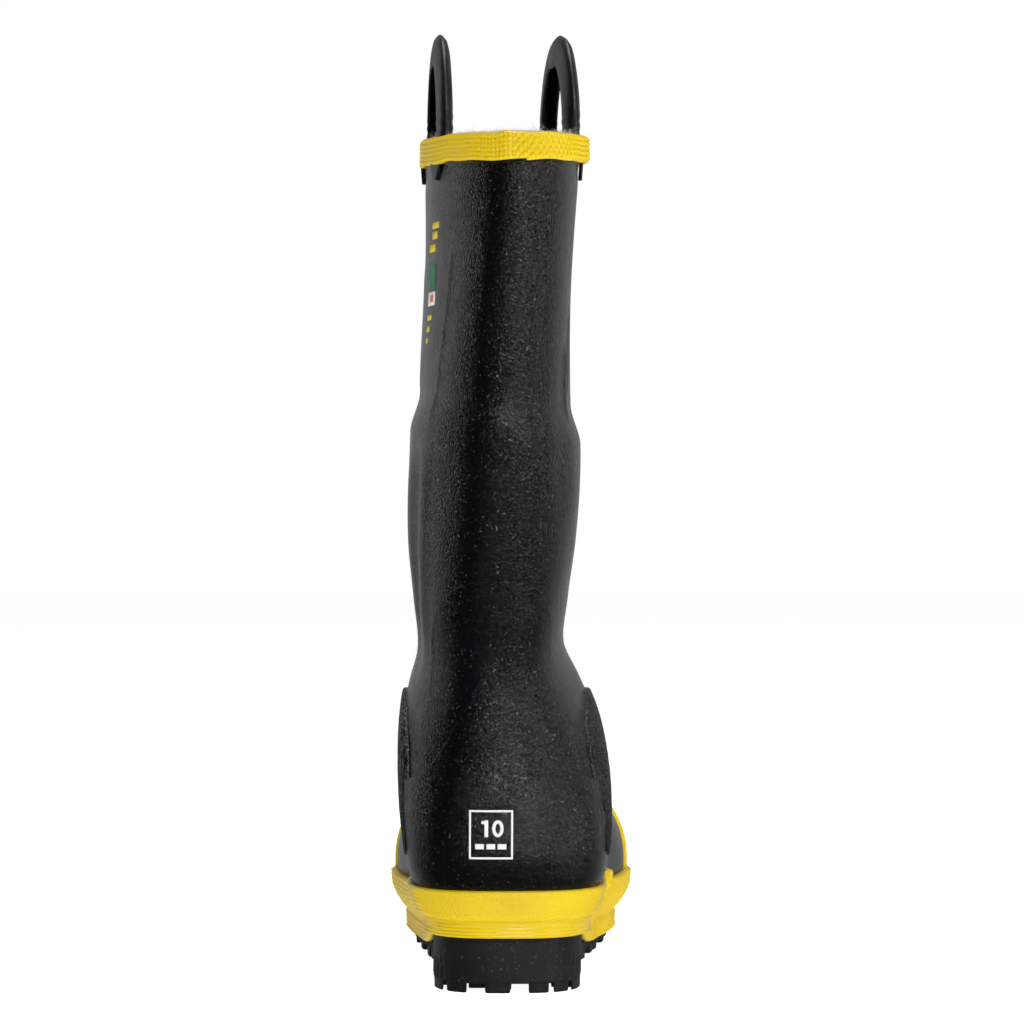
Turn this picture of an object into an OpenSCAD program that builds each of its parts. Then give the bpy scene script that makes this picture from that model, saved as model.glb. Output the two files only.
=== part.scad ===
// Fire boot, left foot: an insulated rubber boot with a pull strap on each side.
// +Z is up, +Y points at the toe and +X at the other foot. The origin is on the ground,
// under the leg, and z = 0 is the plane of the tread.

/* [Leg] */
// Height of the rim over the ground
rim_height = 406; // [385:1:420]
// Rise of the rim from the back to the front
rim_slope = 9; // [0:1:16]
// Width of the leg at the rim, side to side, over the rubber
leg_width = 72.8; // [68:0.2:80]
// Depth of the leg at the rim, front to back
leg_depth = 166; // [150:1:180]
// Turn of the rim about the upright axis, against the foot (degrees)
leg_twist = 8; // [0:0.5:10]
// Width at the ankle, the narrowest place, over the rubber
ankle_width = 63.4; // [60:0.2:70]

/* [Foot] */
// Heel back to toe tip of the upper, without the toe guard
foot_length = 316; // [300:1:330]
// Widest part of the forefoot, over the rubber
ball_width = 118.8; // [108:0.2:126]
// Widest part of the heel, over the rubber
heel_width = 96; // [90:0.2:100]
// Height of the toe box over the ground
toe_height = 87; // [80:1:95]

/* [Layers] */
// Rubber of the leg and vamp
rubber_thick = 2.4; // [2:0.1:3]
// Fleece lining
lining_thick = 4; // [3:0.1:5]
// Foam sleeve around the lower leg, which makes the step in the outline
padding_thick = 4.2; // [3:0.1:6]
// Rubber overlays behind the ankle and heel
overlay_thick = 1.6; // [1:0.1:2.5]
// Ribbed pads over the ankle bones
ankle_pad_thick = 2.6; // [2:0.1:4]
// Yellow band around the rim
binding_thick = 2; // [1.5:0.1:3]
// Height of the yellow band around the rim
binding_height = 14; // [12:0.5:18]
// Yellow band around the sole, measured square to the wall
foxing_thick = 3.2; // [2.5:0.1:4]

/* [Sole] */
// Height of the heel block
heel_height = 26; // [22:0.5:30]
// Thickness of the sole under the ball, with its lugs
sole_thick = 9; // [8:0.5:14]
// Depth of the tread grooves
lug_depth = 5; // [4:0.5:8]

/* [Pull straps] */
// Rise of each strap over the rim
strap_rise = 48; // [40:1:60]
// Distance between the two legs of a strap, centre to centre
strap_spread = 66; // [50:1:80]
// Width of the strap
strap_width = 14; // [10:0.5:18]
// Thickness of the strap, side to side
strap_thick = 7; // [5:0.5:8]

/* [Hidden] */
gap = 0.3;              // between bodies and between curved layers
around = 34;            // points around a ring
skin = rubber_thick;
half_leg = leg_width / 2 - skin;
half_ankle = ankle_width / 2 - skin;
half_heel = heel_width / 2 - skin;
half_ball = ball_width / 2 - skin;
front_y = leg_depth * 0.675;       // front of the rim
back_y = front_y - leg_depth;      // back of the rim
heel_y = -47;                      // back of the heel
tip_y = heel_y + foot_length - skin * 2;   // inside of the toe tip
pad_top = 284;                     // where the foam sleeve starts, from above
strap_root_z = rim_height + 0.85 * rim_slope + strap_thick / 2 + gap;

// ---------------------------------------------------------------- the shape of the upper

// Rings of the upper, inside the rubber, from the rim down to the toe. Each ring is a
// slice that runs from the front of the leg or the top of the foot (first y and z) to
// the back of the leg or the sole (second y and z). Then: half its width, how far up
// the slice it is widest, how far its centre lies to the inner side, and its turn.
rings = [
    [front_y,      rim_height + rim_slope, back_y, rim_height,    half_leg,       0.50, -2.6, leg_twist],
    [front_y - 2,  368,           back_y + 1,  368,           half_leg - 1.6, 0.50, -4.2, leg_twist],
    [front_y - 5,  330,           back_y + 3,  330,           half_leg - 1.9, 0.50, -5.4, leg_twist * 0.9],
    [front_y - 8,  292,           back_y + 5,  292,           half_leg - 0.6, 0.50, -6.3, leg_twist * 0.75],
    [front_y - 11, 255,           back_y + 8,  250,           half_leg + 1,   0.50, -6.3, leg_twist * 0.6],
    [front_y - 13, 222,           -42,         212,           half_leg,       0.50, -7.0, leg_twist * 0.4],
    [100,          196,           -37,         180,           half_ankle + 1.8, 0.50, -7.6, 1],
    [104,          177,           -33,         150,           half_ankle,     0.50, -8.0, 0],
    [108,          164,           -36,         118,           half_heel - 9,  0.47, -6.0, 0],
    [111,          154,           -43,         88,            half_heel - 3,  0.42, -3.0, 0],
    [113,          146,           heel_y,      62,            half_heel,      0.38, -1.0, 0],
    [115,          139,           -38,         42,            half_heel,      0.36, 0, 0],
    [118,          132,           -4,          37,            half_heel - 1,  0.36, 0, 0],
    [123,          124,           48,          32,            half_heel - 1,  0.36, 0, 0],
    [134,          114,           104,         21,            half_ball - 10, 0.36, 0, 0],
    [152,          104,           148,         17,            half_ball - 3,  0.36, 1, 0],
    [178,          toe_height + 7, 178,        17,            half_ball,      0.36, 1.5, 0],
    [202,          toe_height,    202,         18,            half_ball - 1,  0.38, 2, 0],
    [tip_y - 38,   toe_height - 6, tip_y - 38, 20,            half_ball - 5,  0.40, 2, 0],
    [tip_y - 20,   toe_height - 13, tip_y - 20, 24,           half_ball - 14, 0.42, 2, 0],
    [tip_y - 8,    toe_height - 22, tip_y - 8, 29,            half_ball - 27, 0.42, 2, 0],
    [tip_y - 2,    toe_height - 33, tip_y - 2, 34,            half_ball - 40, 0.42, 2, 0],
    [tip_y,        toe_height - 46, tip_y,     39,            1,              0.50, 2, 0]
];
last_ring = len(rings) - 1;
seam_ring = 11.6;        // where the heel quarter ends and the vamp starts

// The ring numbers that every layer of the leg, and of the foot, is drawn at, so that
// their facets lie alongside each other.
leg_steps = [0, 0.5, 1, 1.6, 2.3, 2.8, 3.1, 3.3, 3.6, 3.9, 4.3, 4.8, 5.3, 5.8, 6.3, 6.8, 7.3,
    7.8, 8.4, 9, 9.5, 10, 10.4, 10.8, 11.2, seam_ring];
foot_steps = [seam_ring + 0.01, 12, 12.5, 13, 13.5, 14, 14.6, 15.2, 16, 17, 18, 18.6, 19.2,
    19.8, 20.4, 20.8, 21.2, 21.6, last_ring];
function pick(list, from, to) = [for (u = list) if (u >= from && u <= to) u];

function ease(t) = let(c = min(max(t, 0), 1)) c * c * (3 - 2 * c);

// A smooth curve through the rows of a list, read at row u.
function along(rows, u) =
    let(top = len(rows) - 1, c = min(max(u, 0), top), i = min(floor(c), top - 1), t = c - i,
        b = rows[i], d = rows[i + 1],
        a = i > 0 ? rows[i - 1] : 2 * b - d,
        e = i + 2 <= top ? rows[i + 2] : 2 * d - b)
    0.5 * (2 * b + (d - a) * t + (2 * a - 5 * b + 4 * d - e) * t * t
        + (3 * b - a - 3 * d + e) * t * t * t);

// How thick the foam sleeve is at height z.
function padding(z) = padding_thick * ease((pad_top - z) / 20) * ease((z - 70) / 70);

// A power that keeps the sign of its base, for rounded slices.
function bulge(v, p) = sign(v) * pow(abs(v), p);

// The point of ring u at the angle a: 0 is the back or the sole, 90 the inner side and
// 180 the front or the top. It is moved out from the lining's outside by "out".
function ring_point(u, a, out) =
    let(r = along(rings, u),
        rise = r[1] - r[3], run = r[0] - r[2],
        long = sqrt(rise * rise + run * run), low = r[5],
        o = out + padding(r[3] * (1 - low) + r[1] * low),
        back = cos(a) > 0,
        n = back ? 2.1 + 0.9 * ease((u - 7) / 5) - 0.8 * ease((u - 18) / 4)
            : 2.1 + 0.35 * ease((u - 15) / 5) - 0.35 * ease((u - 20) / 2),
        reach = (back ? low : 1 - low) * long + o,
        q = low * long - bulge(cos(a), 2 / n) * reach,
        x = (r[4] + o) * bulge(sin(a), 2 / n),
        y = r[2] + q * run / long + o * ease((u - 17) / 5),
        z = r[3] + q * rise / long,
        mid = (r[0] + r[2]) / 2)
    [r[6] + x * cos(r[7]) - (y - mid) * sin(r[7]),
     mid + x * sin(r[7]) + (y - mid) * cos(r[7]), z];

// The ring whose point at the angle a is at height z, found by halving.
function ring_at(z, a, low = 0, high = 13, steps = 14) =
    steps == 0 ? (low + high) / 2
    : let(half = (low + high) / 2)
        ring_point(half, a, 0).z > z ? ring_at(z, a, half, high, steps - 1)
            : ring_at(z, a, low, half, steps - 1);

// ---------------------------------------------------------------- the outline of the sole

// Line of the rubber behind the top edge of the yellow band, from the back of the heel
// along the inner side to the toe, and back along the outer side: x, y.
half_rear = heel_width / 2 - 2.6;
half_fore = ball_width / 2;
rand_line = [
    [0, heel_y - 1.8], [half_rear - 24, heel_y + 1], [half_rear - 9, -34.5],
    [half_rear - 1.5, -16], [half_rear, 10], [half_rear, 42], [half_rear, 76],
    [half_fore - 10, 110], [half_fore - 2.5, 146], [half_fore + 2.2, 182],
    [half_fore + 1.2, 206], [half_fore - 3.2, 230.6], [half_fore - 20, 257.2], [2, tip_y + 5.3],
    [24 - half_fore, 257.2], [7.2 - half_fore, 230.6], [2.8 - half_fore, 206],
    [0.9 - half_fore, 182], [4.5 - half_fore, 146], [10.5 - half_fore, 110],
    [-half_rear, 76], [-half_rear, 42], [-half_rear, 10], [1.5 - half_rear, -16],
    [9 - half_rear, -34.5], [24 - half_rear, heel_y + 1]
];
lean = 9.5;              // how far the sole's edge is tucked in under that line

// A closed smooth curve through the line, s from 0 to 1.
function line_raw(s) =
    let(n = len(rand_line), v = (s - floor(s)) * n, i = floor(v), t = v - i,
        a = rand_line[(i + n - 1) % n], b = rand_line[i % n],
        d = rand_line[(i + 1) % n], e = rand_line[(i + 2) % n])
    0.5 * (2 * b + (d - a) * t + (2 * a - 5 * b + 4 * d - e) * t * t
        + (3 * b - a - 3 * d + e) * t * t * t);
function line_point(s, out) =
    let(p = line_raw(s), d = line_raw(s + 0.002) - line_raw(s - 0.002), long = norm(d))
    [p.x + out * d.y / long, p.y - out * d.x / long];

// Heights along the foot: the sole's upper edge, the top of the yellow band, and the
// underside of the upper.
function sole_top(y) = heel_height + (sole_thick - heel_height) * ease((y - 25) / 85)
    + 9 * ease((y - 190) / 110);
function band_top(y) = 53 - 13 * ease((y - 20) / 110) + 6 * ease((y - 200) / 80);
function foot_floor(y) = along([37, 33.7, 28.7, 19.6, 14.4, 13.7, 16.2, 26], (y + 40) / 44);

// ---------------------------------------------------------------- solids from rings

// Joins two grids of points, front and back, into one closed solid. Rows that run all
// the way round are closed; open rows get side walls.
module skin_solid(outer, inner, closed) {
    rows = len(outer);
    cols = len(outer[0]);
    wrap = closed ? cols : cols - 1;
    n = rows * cols;
    points = [for (r = outer) each r, for (r = inner) each r];
    function at(i, j) = i * cols + (j % cols);
    walls = [for (i = [0:rows - 2], j = [0:wrap - 1])
        each [[at(i, j), at(i, j + 1), at(i + 1, j + 1)],
              [at(i, j), at(i + 1, j + 1), at(i + 1, j)],
              [n + at(i, j + 1), n + at(i, j), n + at(i + 1, j + 1)],
              [n + at(i + 1, j + 1), n + at(i, j), n + at(i + 1, j)]]];
    ends = [for (j = [0:wrap - 1])
        each [[at(0, j + 1), at(0, j), n + at(0, j)],
              [at(0, j + 1), n + at(0, j), n + at(0, j + 1)],
              [at(rows - 1, j), at(rows - 1, j + 1), n + at(rows - 1, j)],
              [n + at(rows - 1, j), at(rows - 1, j + 1), n + at(rows - 1, j + 1)]]];
    sides = closed ? [] : [for (i = [0:rows - 2])
        each [[at(i, 0), at(i + 1, 0), n + at(i, 0)],
              [n + at(i, 0), at(i + 1, 0), n + at(i + 1, 0)],
              [at(i + 1, cols - 1), at(i, cols - 1), n + at(i, cols - 1)],
              [at(i + 1, cols - 1), n + at(i, cols - 1), n + at(i + 1, cols - 1)]]];
    polyhedron(points, concat(walls, ends, sides), convexity = 10);
}

// A skin closed over its last ring, like the toe of a sock.
module cup_solid(outer, inner) {
    rows = len(outer);
    cols = len(outer[0]);
    n = rows * cols;
    tips = [outer[rows - 1], inner[rows - 1]];
    middle = [for (t = tips) [for (k = [0:2]) (t[0][k] + t[floor(cols / 2)][k]) / 2]];
    points = [for (r = outer) each r, for (r = inner) each r, each middle];
    function at(i, j) = i * cols + (j % cols);
    walls = [for (i = [0:rows - 2], j = [0:cols - 1])
        each [[at(i, j), at(i, j + 1), at(i + 1, j + 1)],
              [at(i, j), at(i + 1, j + 1), at(i + 1, j)],
              [n + at(i, j + 1), n + at(i, j), n + at(i + 1, j + 1)],
              [n + at(i + 1, j + 1), n + at(i, j), n + at(i + 1, j)]]];
    ends = [for (j = [0:cols - 1])
        each [[at(0, j + 1), at(0, j), n + at(0, j)],
              [at(0, j + 1), n + at(0, j), n + at(0, j + 1)],
              [at(rows - 1, j), at(rows - 1, j + 1), 2 * n],
              [n + at(rows - 1, j + 1), n + at(rows - 1, j), 2 * n + 1]]];
    polyhedron(points, concat(walls, ends), convexity = 10);
}

// The rings with these numbers, moved out from the lining's outside.
function upper_rings(steps, out) =
    [for (u = steps) [for (j = [0:around - 1]) ring_point(u, j * 360 / around, out)]];

// Where the line crosses y, on the inner side (+1) or the outer (-1), found by halving.
function line_x(y, side, out, low = 0, high = 0.5, steps = 14) =
    let(half = (low + high) / 2, p = line_point(side > 0 ? half : 1 - half, out))
    steps == 0 ? p.x
    : p.y < y ? line_x(y, side, out, half, high, steps - 1)
    : line_x(y, side, out, low, half, steps - 1);

// A layer of the sole inside the line, between two heights along the foot.
module sole_layer(inset, y_from, y_to, low, high, count = 26) {
    ys = [for (i = [0:count]) y_from + (y_to - y_from) * (0.5 - 0.5 * cos(180 * i / count))];
    rows = [for (y = ys) [line_x(y, 1, -inset), line_x(y, -1, -inset), y]];
    upper = [for (r = rows) [[r[0], r[2], high(r[2])], [r[1], r[2], high(r[2])]]];
    lower = [for (r = rows) [[r[0], r[2], low(r[2])], [r[1], r[2], low(r[2])]]];
    skin_solid(upper, lower, false);
}

// How far in from the line the band lies, a share k of the way up: upright at first,
// then leaning out over the swell of the rubber.
function tuck(k) = lean * (1 - sqrt(max(k - 0.36, 0) / 0.64));
band_room = 0.8;         // room between that line and the band

// A band from the sole's edge up to the rubber, between two places along the line.
module rand_band(from, to, count) {
    function wall(out) = [for (k = [0, 0.36, 0.4, 0.48, 0.6, 0.8, 1]) [for (i = [0:count])
        let(s = from + (to - from) * i / count, y = line_raw(s).y,
            low = sole_top(y) + gap, high = band_top(y),
            p = line_point(s, band_room + out * foxing_thick * (1 - 0.3 * k) - tuck(k)))
        [p.x, p.y, low + (high - low) * k]]];
    skin_solid(wall(1), wall(0), false);
}

// A patch on the upper between two angles, from a lower to an upper height at each angle.
module patch(a_from, a_to, cols, rows, low, high, lift, thick) {
    function layer(out) = [for (i = [0:rows]) [for (j = [0:cols])
        let(a = a_from + (a_to - a_from) * j / cols,
            z = high(a) + (low(a) - high(a)) * i / rows)
        ring_point(ring_at(z, a), a, skin + out)]];
    skin_solid(layer(lift + thick), layer(lift), false);
}

// ---------------------------------------------------------------- outer rubber

module leg_shell() {
    color([0.03, 0.03, 0.035])
        skin_solid(upper_rings(leg_steps, skin), upper_rings(leg_steps, 0), true);
}

module vamp_shell() {
    color([0.03, 0.03, 0.035])
        cup_solid(upper_rings(foot_steps, skin), upper_rings(foot_steps, 0));
}

// How far the foam sleeve lifts the rubber at ring u.
function foam(u) = let(r = along(rings, u)) padding(r[3] * (1 - r[5]) + r[1] * r[5]);

// Foam sleeve in the step between lining and rubber.
module leg_padding() {
    steps = pick(leg_steps, 3.5, 9.6);
    inside = [for (u = steps) [for (j = [0:around - 1])
        ring_point(u, j * 360 / around, -foam(u) - gap)]];
    color([0.75, 0.72, 0.6]) skin_solid(upper_rings(steps, -gap / 2), inside, true);
}

// How far the lining's outside lies under the rubber or the foam, with room for the
// steel cap in the toe.
function fleece_depth(u) = foam(u) + 2 * gap + 2 * ease((u - 15.2) / 0.8);
function fleece(steps, deep) = [for (u = steps) [for (j = [0:around - 1])
    ring_point(u, j * 360 / around, -fleece_depth(u) - deep)]];

module leg_lining() {
    color([0.85, 0.83, 0.76])
        skin_solid(fleece(leg_steps, 0), fleece(leg_steps, lining_thick), true);
}

module foot_lining() {
    steps = pick(foot_steps, 0, 21.3);
    color([0.85, 0.83, 0.76]) cup_solid(fleece(steps, 0), fleece(steps, lining_thick));
}

// ---------------------------------------------------------------- overlays

function arch(a, wide, foot, top, p) = foot + (top - foot) * pow(max(1 - pow(abs(a) / wide, p), 0), 1 / p);

// Upper arch behind the ankle: its feet stop at the lower arch.
stay_half = 50;
function counter_top(a) = 98 + 53 / (1 + pow(abs(a) / 26, 3));
module heel_stay() {
    function low(a) = counter_top(a) + 0.8;
    function high(a) = arch(a, stay_half, 152, 194, 2.4) + 2;
    color([0.035, 0.035, 0.04])
        patch(-stay_half, stay_half, 18, 6, function (a) low(a), function (a) high(a), gap, overlay_thick);
}

// Lower arch, from the yellow band up around the heel.
module heel_counter() {
    color([0.035, 0.035, 0.04])
        patch(-60, 60, 24, 8, function (a) 55, function (a) counter_top(a), gap, overlay_thick);
}

// Ribbed pad over an ankle bone: an oval between two rings. side is +1 for the inner one.
module ankle_pad(side) {
    function span(t) = max(pow(max(1 - pow(abs(2 * t - 1), 3), 0), 1 / 3), 0.3);
    function layer(out) = [for (i = [0:10]) [for (j = [0:10])
        ring_point(8.1 + 2.7 * i / 10, side * 86 + 25 * span(i / 10) * (j / 5 - 1), skin + out)]];
    skin_solid(layer(gap + ankle_pad_thick), layer(gap), false);
}
module ankle_pad_medial() {
    color([0.04, 0.04, 0.045]) ankle_pad(1);
}
module ankle_pad_lateral() {
    color([0.04, 0.04, 0.045]) ankle_pad(-1);
}

// Guard down the front of the leg, with rounded corners.
function guard_round(a) = 16 * pow(abs(a - 180) / 38, 4);
module shin_guard() {
    color([0.04, 0.04, 0.045])
        patch(142, 218, 14, 14, function (a) 225 + guard_round(a), function (a) 345 - guard_round(a), gap, 3);
}

// Yellow band around the rim.
module top_binding() {
    steps = [0, 0.5, 1] * binding_height / 32;
    color([0.95, 0.85, 0.1])
        skin_solid(upper_rings(steps, skin + gap + binding_thick), upper_rings(steps, skin + gap), true);
}

// ---------------------------------------------------------------- pull straps

// Angle around the rim of a strap's front leg (+1) or rear leg (-1).
function strap_angle(side, leg) = side * (96 + leg * 24);
function strap_place(side, leg) = ring_point(0, strap_angle(side, leg), skin / 2);

// Stands its children on the rim, between the legs of a strap and in line with them.
module strap_frame(side) {
    front = strap_place(side, 1);
    rear = strap_place(side, -1);
    translate([(front.x + rear.x) / 2, (front.y + rear.y) / 2, strap_root_z])
        rotate([0, 0, atan2(rear.x - front.x, front.y - rear.y)]) children();
}

// Free loop: two legs and a round crown, in a plane along the rim, on rounded roots.
module strap_loop(side) {
    half = strap_spread / 2;
    outer = half + strap_width / 2;
    inner = half - strap_width / 2;
    straight = strap_rise - gap - strap_thick / 2 - outer;
    strap_frame(side) {
        rotate([90, 0, 90]) translate([0, 0, -strap_thick / 2]) linear_extrude(strap_thick)
            polygon([for (a = [0:6:180]) [outer * cos(a), straight + outer * sin(a)],
                [-outer, 0], [-inner, 0],
                for (a = [180:-6:0]) [inner * cos(a), straight + inner * sin(a)],
                [inner, 0], [outer, 0]]);
        for (leg = [-1, 1])
            translate([0, leg * half + strap_width / 2 - 0.5, 0]) rotate([90, 0, 0])
                cylinder(d = strap_thick - 0.6, h = strap_width - 1, $fn = 32);
    }
}
module strap_loop_medial() {
    color([0.03, 0.03, 0.035]) strap_loop(1);
}
module strap_loop_lateral() {
    color([0.03, 0.03, 0.035]) strap_loop(-1);
}

// Ends of a strap: flat tabs against the leg, below the yellow band.
module strap_tab(a) {
    function layer(out) = [for (i = [0:4]) [for (j = [0:4])
        ring_point(0.46 + 0.06 * i, a - 5 + 2.5 * j, skin + out)]];
    skin_solid(layer(gap + 2.4), layer(gap), false);
}
module strap_ends(side) {
    strap_tab(strap_angle(side, 1));
    strap_tab(strap_angle(side, -1));
}
module strap_ends_medial() {
    color([0.03, 0.03, 0.035]) strap_ends(1);
}
module strap_ends_lateral() {
    color([0.03, 0.03, 0.035]) strap_ends(-1);
}

// ---------------------------------------------------------------- foot bands

// The band is in two pieces, which meet at the arch of the foot.
inner_joint = 0.205;
outer_joint = 0.775;
module heel_foxing() {
    color([0.95, 0.85, 0.1]) rand_band(outer_joint - 1, inner_joint - 0.001, 40);
}

module forefoot_foxing() {
    color([0.95, 0.85, 0.1]) rand_band(inner_joint, outer_joint - 0.001, 56);
}

// Bumper over the toe, down to the yellow band. Its edge is found by halving.
function guard_edge(u, low = 80, high = 180, n = 8) =
    let(a = (low + high) / 2, p = ring_point(u, a, skin + gap + 2.2))
    n == 0 ? high : p.z > band_top(p.y) + 0.6 ? guard_edge(u, low, a, n - 1)
        : guard_edge(u, a, high, n - 1);
module toe_guard() {
    function layer(out) = [for (i = [0:14]) let(u = 16.6 + (21.8 - 16.6) * i / 14, a = guard_edge(u))
        [for (j = [0:24]) ring_point(u, a + (360 - 2 * a) * j / 24, skin + out)]];
    color([0.95, 0.85, 0.1]) skin_solid(layer(gap + 2.2), layer(gap), false);
}

// Steel cap between the rubber and the lining of the toe.
module toe_cap() {
    function layer(out) = [for (i = [0:12]) [for (j = [0:24])
        ring_point(16.4 + (21.6 - 16.4) * i / 12, 55 + 250 * j / 24, out)]];
    color([0.6, 0.6, 0.62]) skin_solid(layer(-0.6), layer(-1.9), false);
}

// ---------------------------------------------------------------- sole

// Bars of the tread: x, y, width, length.
heel_lugs = [
    [-26, -20, 10, 13], [-4, -30, 12, 14], [16, -27, 10, 14], [28, -12, 8, 12],
    [-28, 0, 9, 14], [-15, -4, 9, 12], [-4, -2, 12, 22], [16, -5, 10, 14], [28, 8, 8, 12],
    [-27, 20, 11, 12], [-4, 20, 12, 10], [16, 18, 10, 14]
];
module bars(places, height) {
    for (p = places)
        translate([p[0] - p[2] / 2, p[1] - p[3] / 2, 0]) cube([p[2], p[3], height]);
}

module heel_block() {
    color([0.03, 0.03, 0.03]) {
        sole_layer(lean, heel_y + 8.2, 30, function (y) lug_depth, function (y) heel_height);
        bars(heel_lugs, lug_depth + 1);
    }
}

// Underside of the sole between its lugs.
function sole_low(y) = sole_top(y) - (sole_thick - lug_depth);
fore_lugs = [for (row = [0:6], col = [-2:2])
    if (abs(col) < 2 || (row > 0 && row < 5))
        [2 + col * 18, 108 + row * 17, 13, 11]];
module outsole() {
    color([0.03, 0.03, 0.03]) {
        sole_layer(lean, 30.4, tip_y - 5.4, function (y) sole_low(y), function (y) sole_top(y));
        for (p = fore_lugs)
            translate([p[0] - p[2] / 2, p[1] - p[3] / 2, p[1] > 192 ? sole_low(p[1] - 6) - lug_depth : 0])
                cube([p[2], p[3], p[1] > 192 ? lug_depth + 2 : lug_depth + 1]);
    }
}

// The stack under the upper, from the bottom: filler, shank in the waist, steel sheet
// and board.
board_thick = 2;
sheet_thick = 0.8;
shank_thick = 1.5;
board_low = board_thick + gap;
sheet_low = board_low + sheet_thick + gap;
function shank_room(y) = (shank_thick + 2 * gap) * ease((y - 44) / 8) * ease((122 - y) / 10);

module midsole() {
    color([0.12, 0.12, 0.12])
        sole_layer(lean + 3, heel_y + 14, tip_y - 16, function (y) sole_top(y) + gap,
            function (y) max(foot_floor(y) - sheet_low - gap - shank_room(y), sole_top(y) + 0.6));
}

module shank() {
    ys = [for (i = [0:12]) 56 + 52 * i / 12];
    function strip(down) = [for (y = ys) [[11, y, foot_floor(y) - sheet_low - gap - down],
        [-11, y, foot_floor(y) - sheet_low - gap - down]]];
    color([0.6, 0.6, 0.62]) skin_solid(strip(0), strip(shank_thick), false);
}

module puncture_plate() {
    color([0.6, 0.6, 0.62])
        sole_layer(lean + 7, heel_y + 22, tip_y - 26, function (y) foot_floor(y) - sheet_low,
            function (y) foot_floor(y) - sheet_low + sheet_thick);
}

module insole_board() {
    color([0.55, 0.4, 0.25])
        sole_layer(lean + 5, heel_y + 18, tip_y - 22, function (y) foot_floor(y) - board_low,
            function (y) foot_floor(y) - board_low + board_thick);
}

// Loose footbed, dished to the lining under it.
footbed_thick = 5;
module footbed() {
    steps = pick(concat(leg_steps, foot_steps), 11.1, 20);
    function layer(up) = [for (u = steps) [for (j = [0:14])
        ring_point(u, -44 + 88 * j / 14, -fleece_depth(u) - lining_thick - 2 * gap - up)]];
    color([0.3, 0.35, 0.5]) skin_solid(layer(0), layer(footbed_thick), false);
}

leg_shell();
vamp_shell();
leg_lining();
foot_lining();
leg_padding();
heel_stay();
heel_counter();
ankle_pad_medial();
ankle_pad_lateral();
shin_guard();
top_binding();
strap_ends_medial();
strap_ends_lateral();
strap_loop_medial();
strap_loop_lateral();
heel_foxing();
forefoot_foxing();
toe_guard();
toe_cap();
heel_block();
outsole();
midsole();
shank();
puncture_plate();
insole_board();
footbed();
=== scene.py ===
import math

import bpy
import numpy as np
from bpy.props import FloatProperty, FloatVectorProperty, IntProperty, PointerProperty
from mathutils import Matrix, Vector


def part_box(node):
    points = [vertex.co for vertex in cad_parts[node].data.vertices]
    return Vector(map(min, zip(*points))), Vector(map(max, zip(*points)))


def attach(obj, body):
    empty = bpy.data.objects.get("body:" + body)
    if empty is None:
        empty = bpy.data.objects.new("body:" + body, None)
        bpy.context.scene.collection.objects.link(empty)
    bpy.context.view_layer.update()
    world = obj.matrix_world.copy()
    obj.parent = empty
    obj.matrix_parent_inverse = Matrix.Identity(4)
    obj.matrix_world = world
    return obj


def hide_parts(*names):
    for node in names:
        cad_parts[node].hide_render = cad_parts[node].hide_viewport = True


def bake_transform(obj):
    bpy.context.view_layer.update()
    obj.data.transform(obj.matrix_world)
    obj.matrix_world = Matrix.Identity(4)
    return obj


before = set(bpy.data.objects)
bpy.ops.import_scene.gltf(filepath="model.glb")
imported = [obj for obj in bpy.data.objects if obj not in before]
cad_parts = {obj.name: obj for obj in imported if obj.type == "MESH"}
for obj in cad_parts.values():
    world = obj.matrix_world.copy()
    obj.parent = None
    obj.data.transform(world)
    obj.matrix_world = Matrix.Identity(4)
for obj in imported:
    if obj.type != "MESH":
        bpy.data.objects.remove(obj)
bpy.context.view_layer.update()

bl_info = {
    "name": "Fire boot looks",
    "version": (1, 0, 0),
    "blender": (4, 5, 0),
    "location": "View3D > Sidebar > Fire boot",
    "description": "Builds the rubber, bands, straps, tread and lining of a fire boot around its frame",
    "category": "Object",
}

MM = 0.001
SEED = 11


# ------------------------------------------------------------------ sizes and colours

def length(name, description, default):
    return FloatProperty(name=name, description=description, default=default * MM,
                         unit="LENGTH", subtype="DISTANCE", precision=4)


def colour(name, description, default):
    return FloatVectorProperty(name=name, description=description, default=default,
                               size=4, subtype="COLOR", min=0.0, max=1.0)


RIM_SLOPE_MM = 9
RIM_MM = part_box("top_binding")[1].z / MM - RIM_SLOPE_MM


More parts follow.
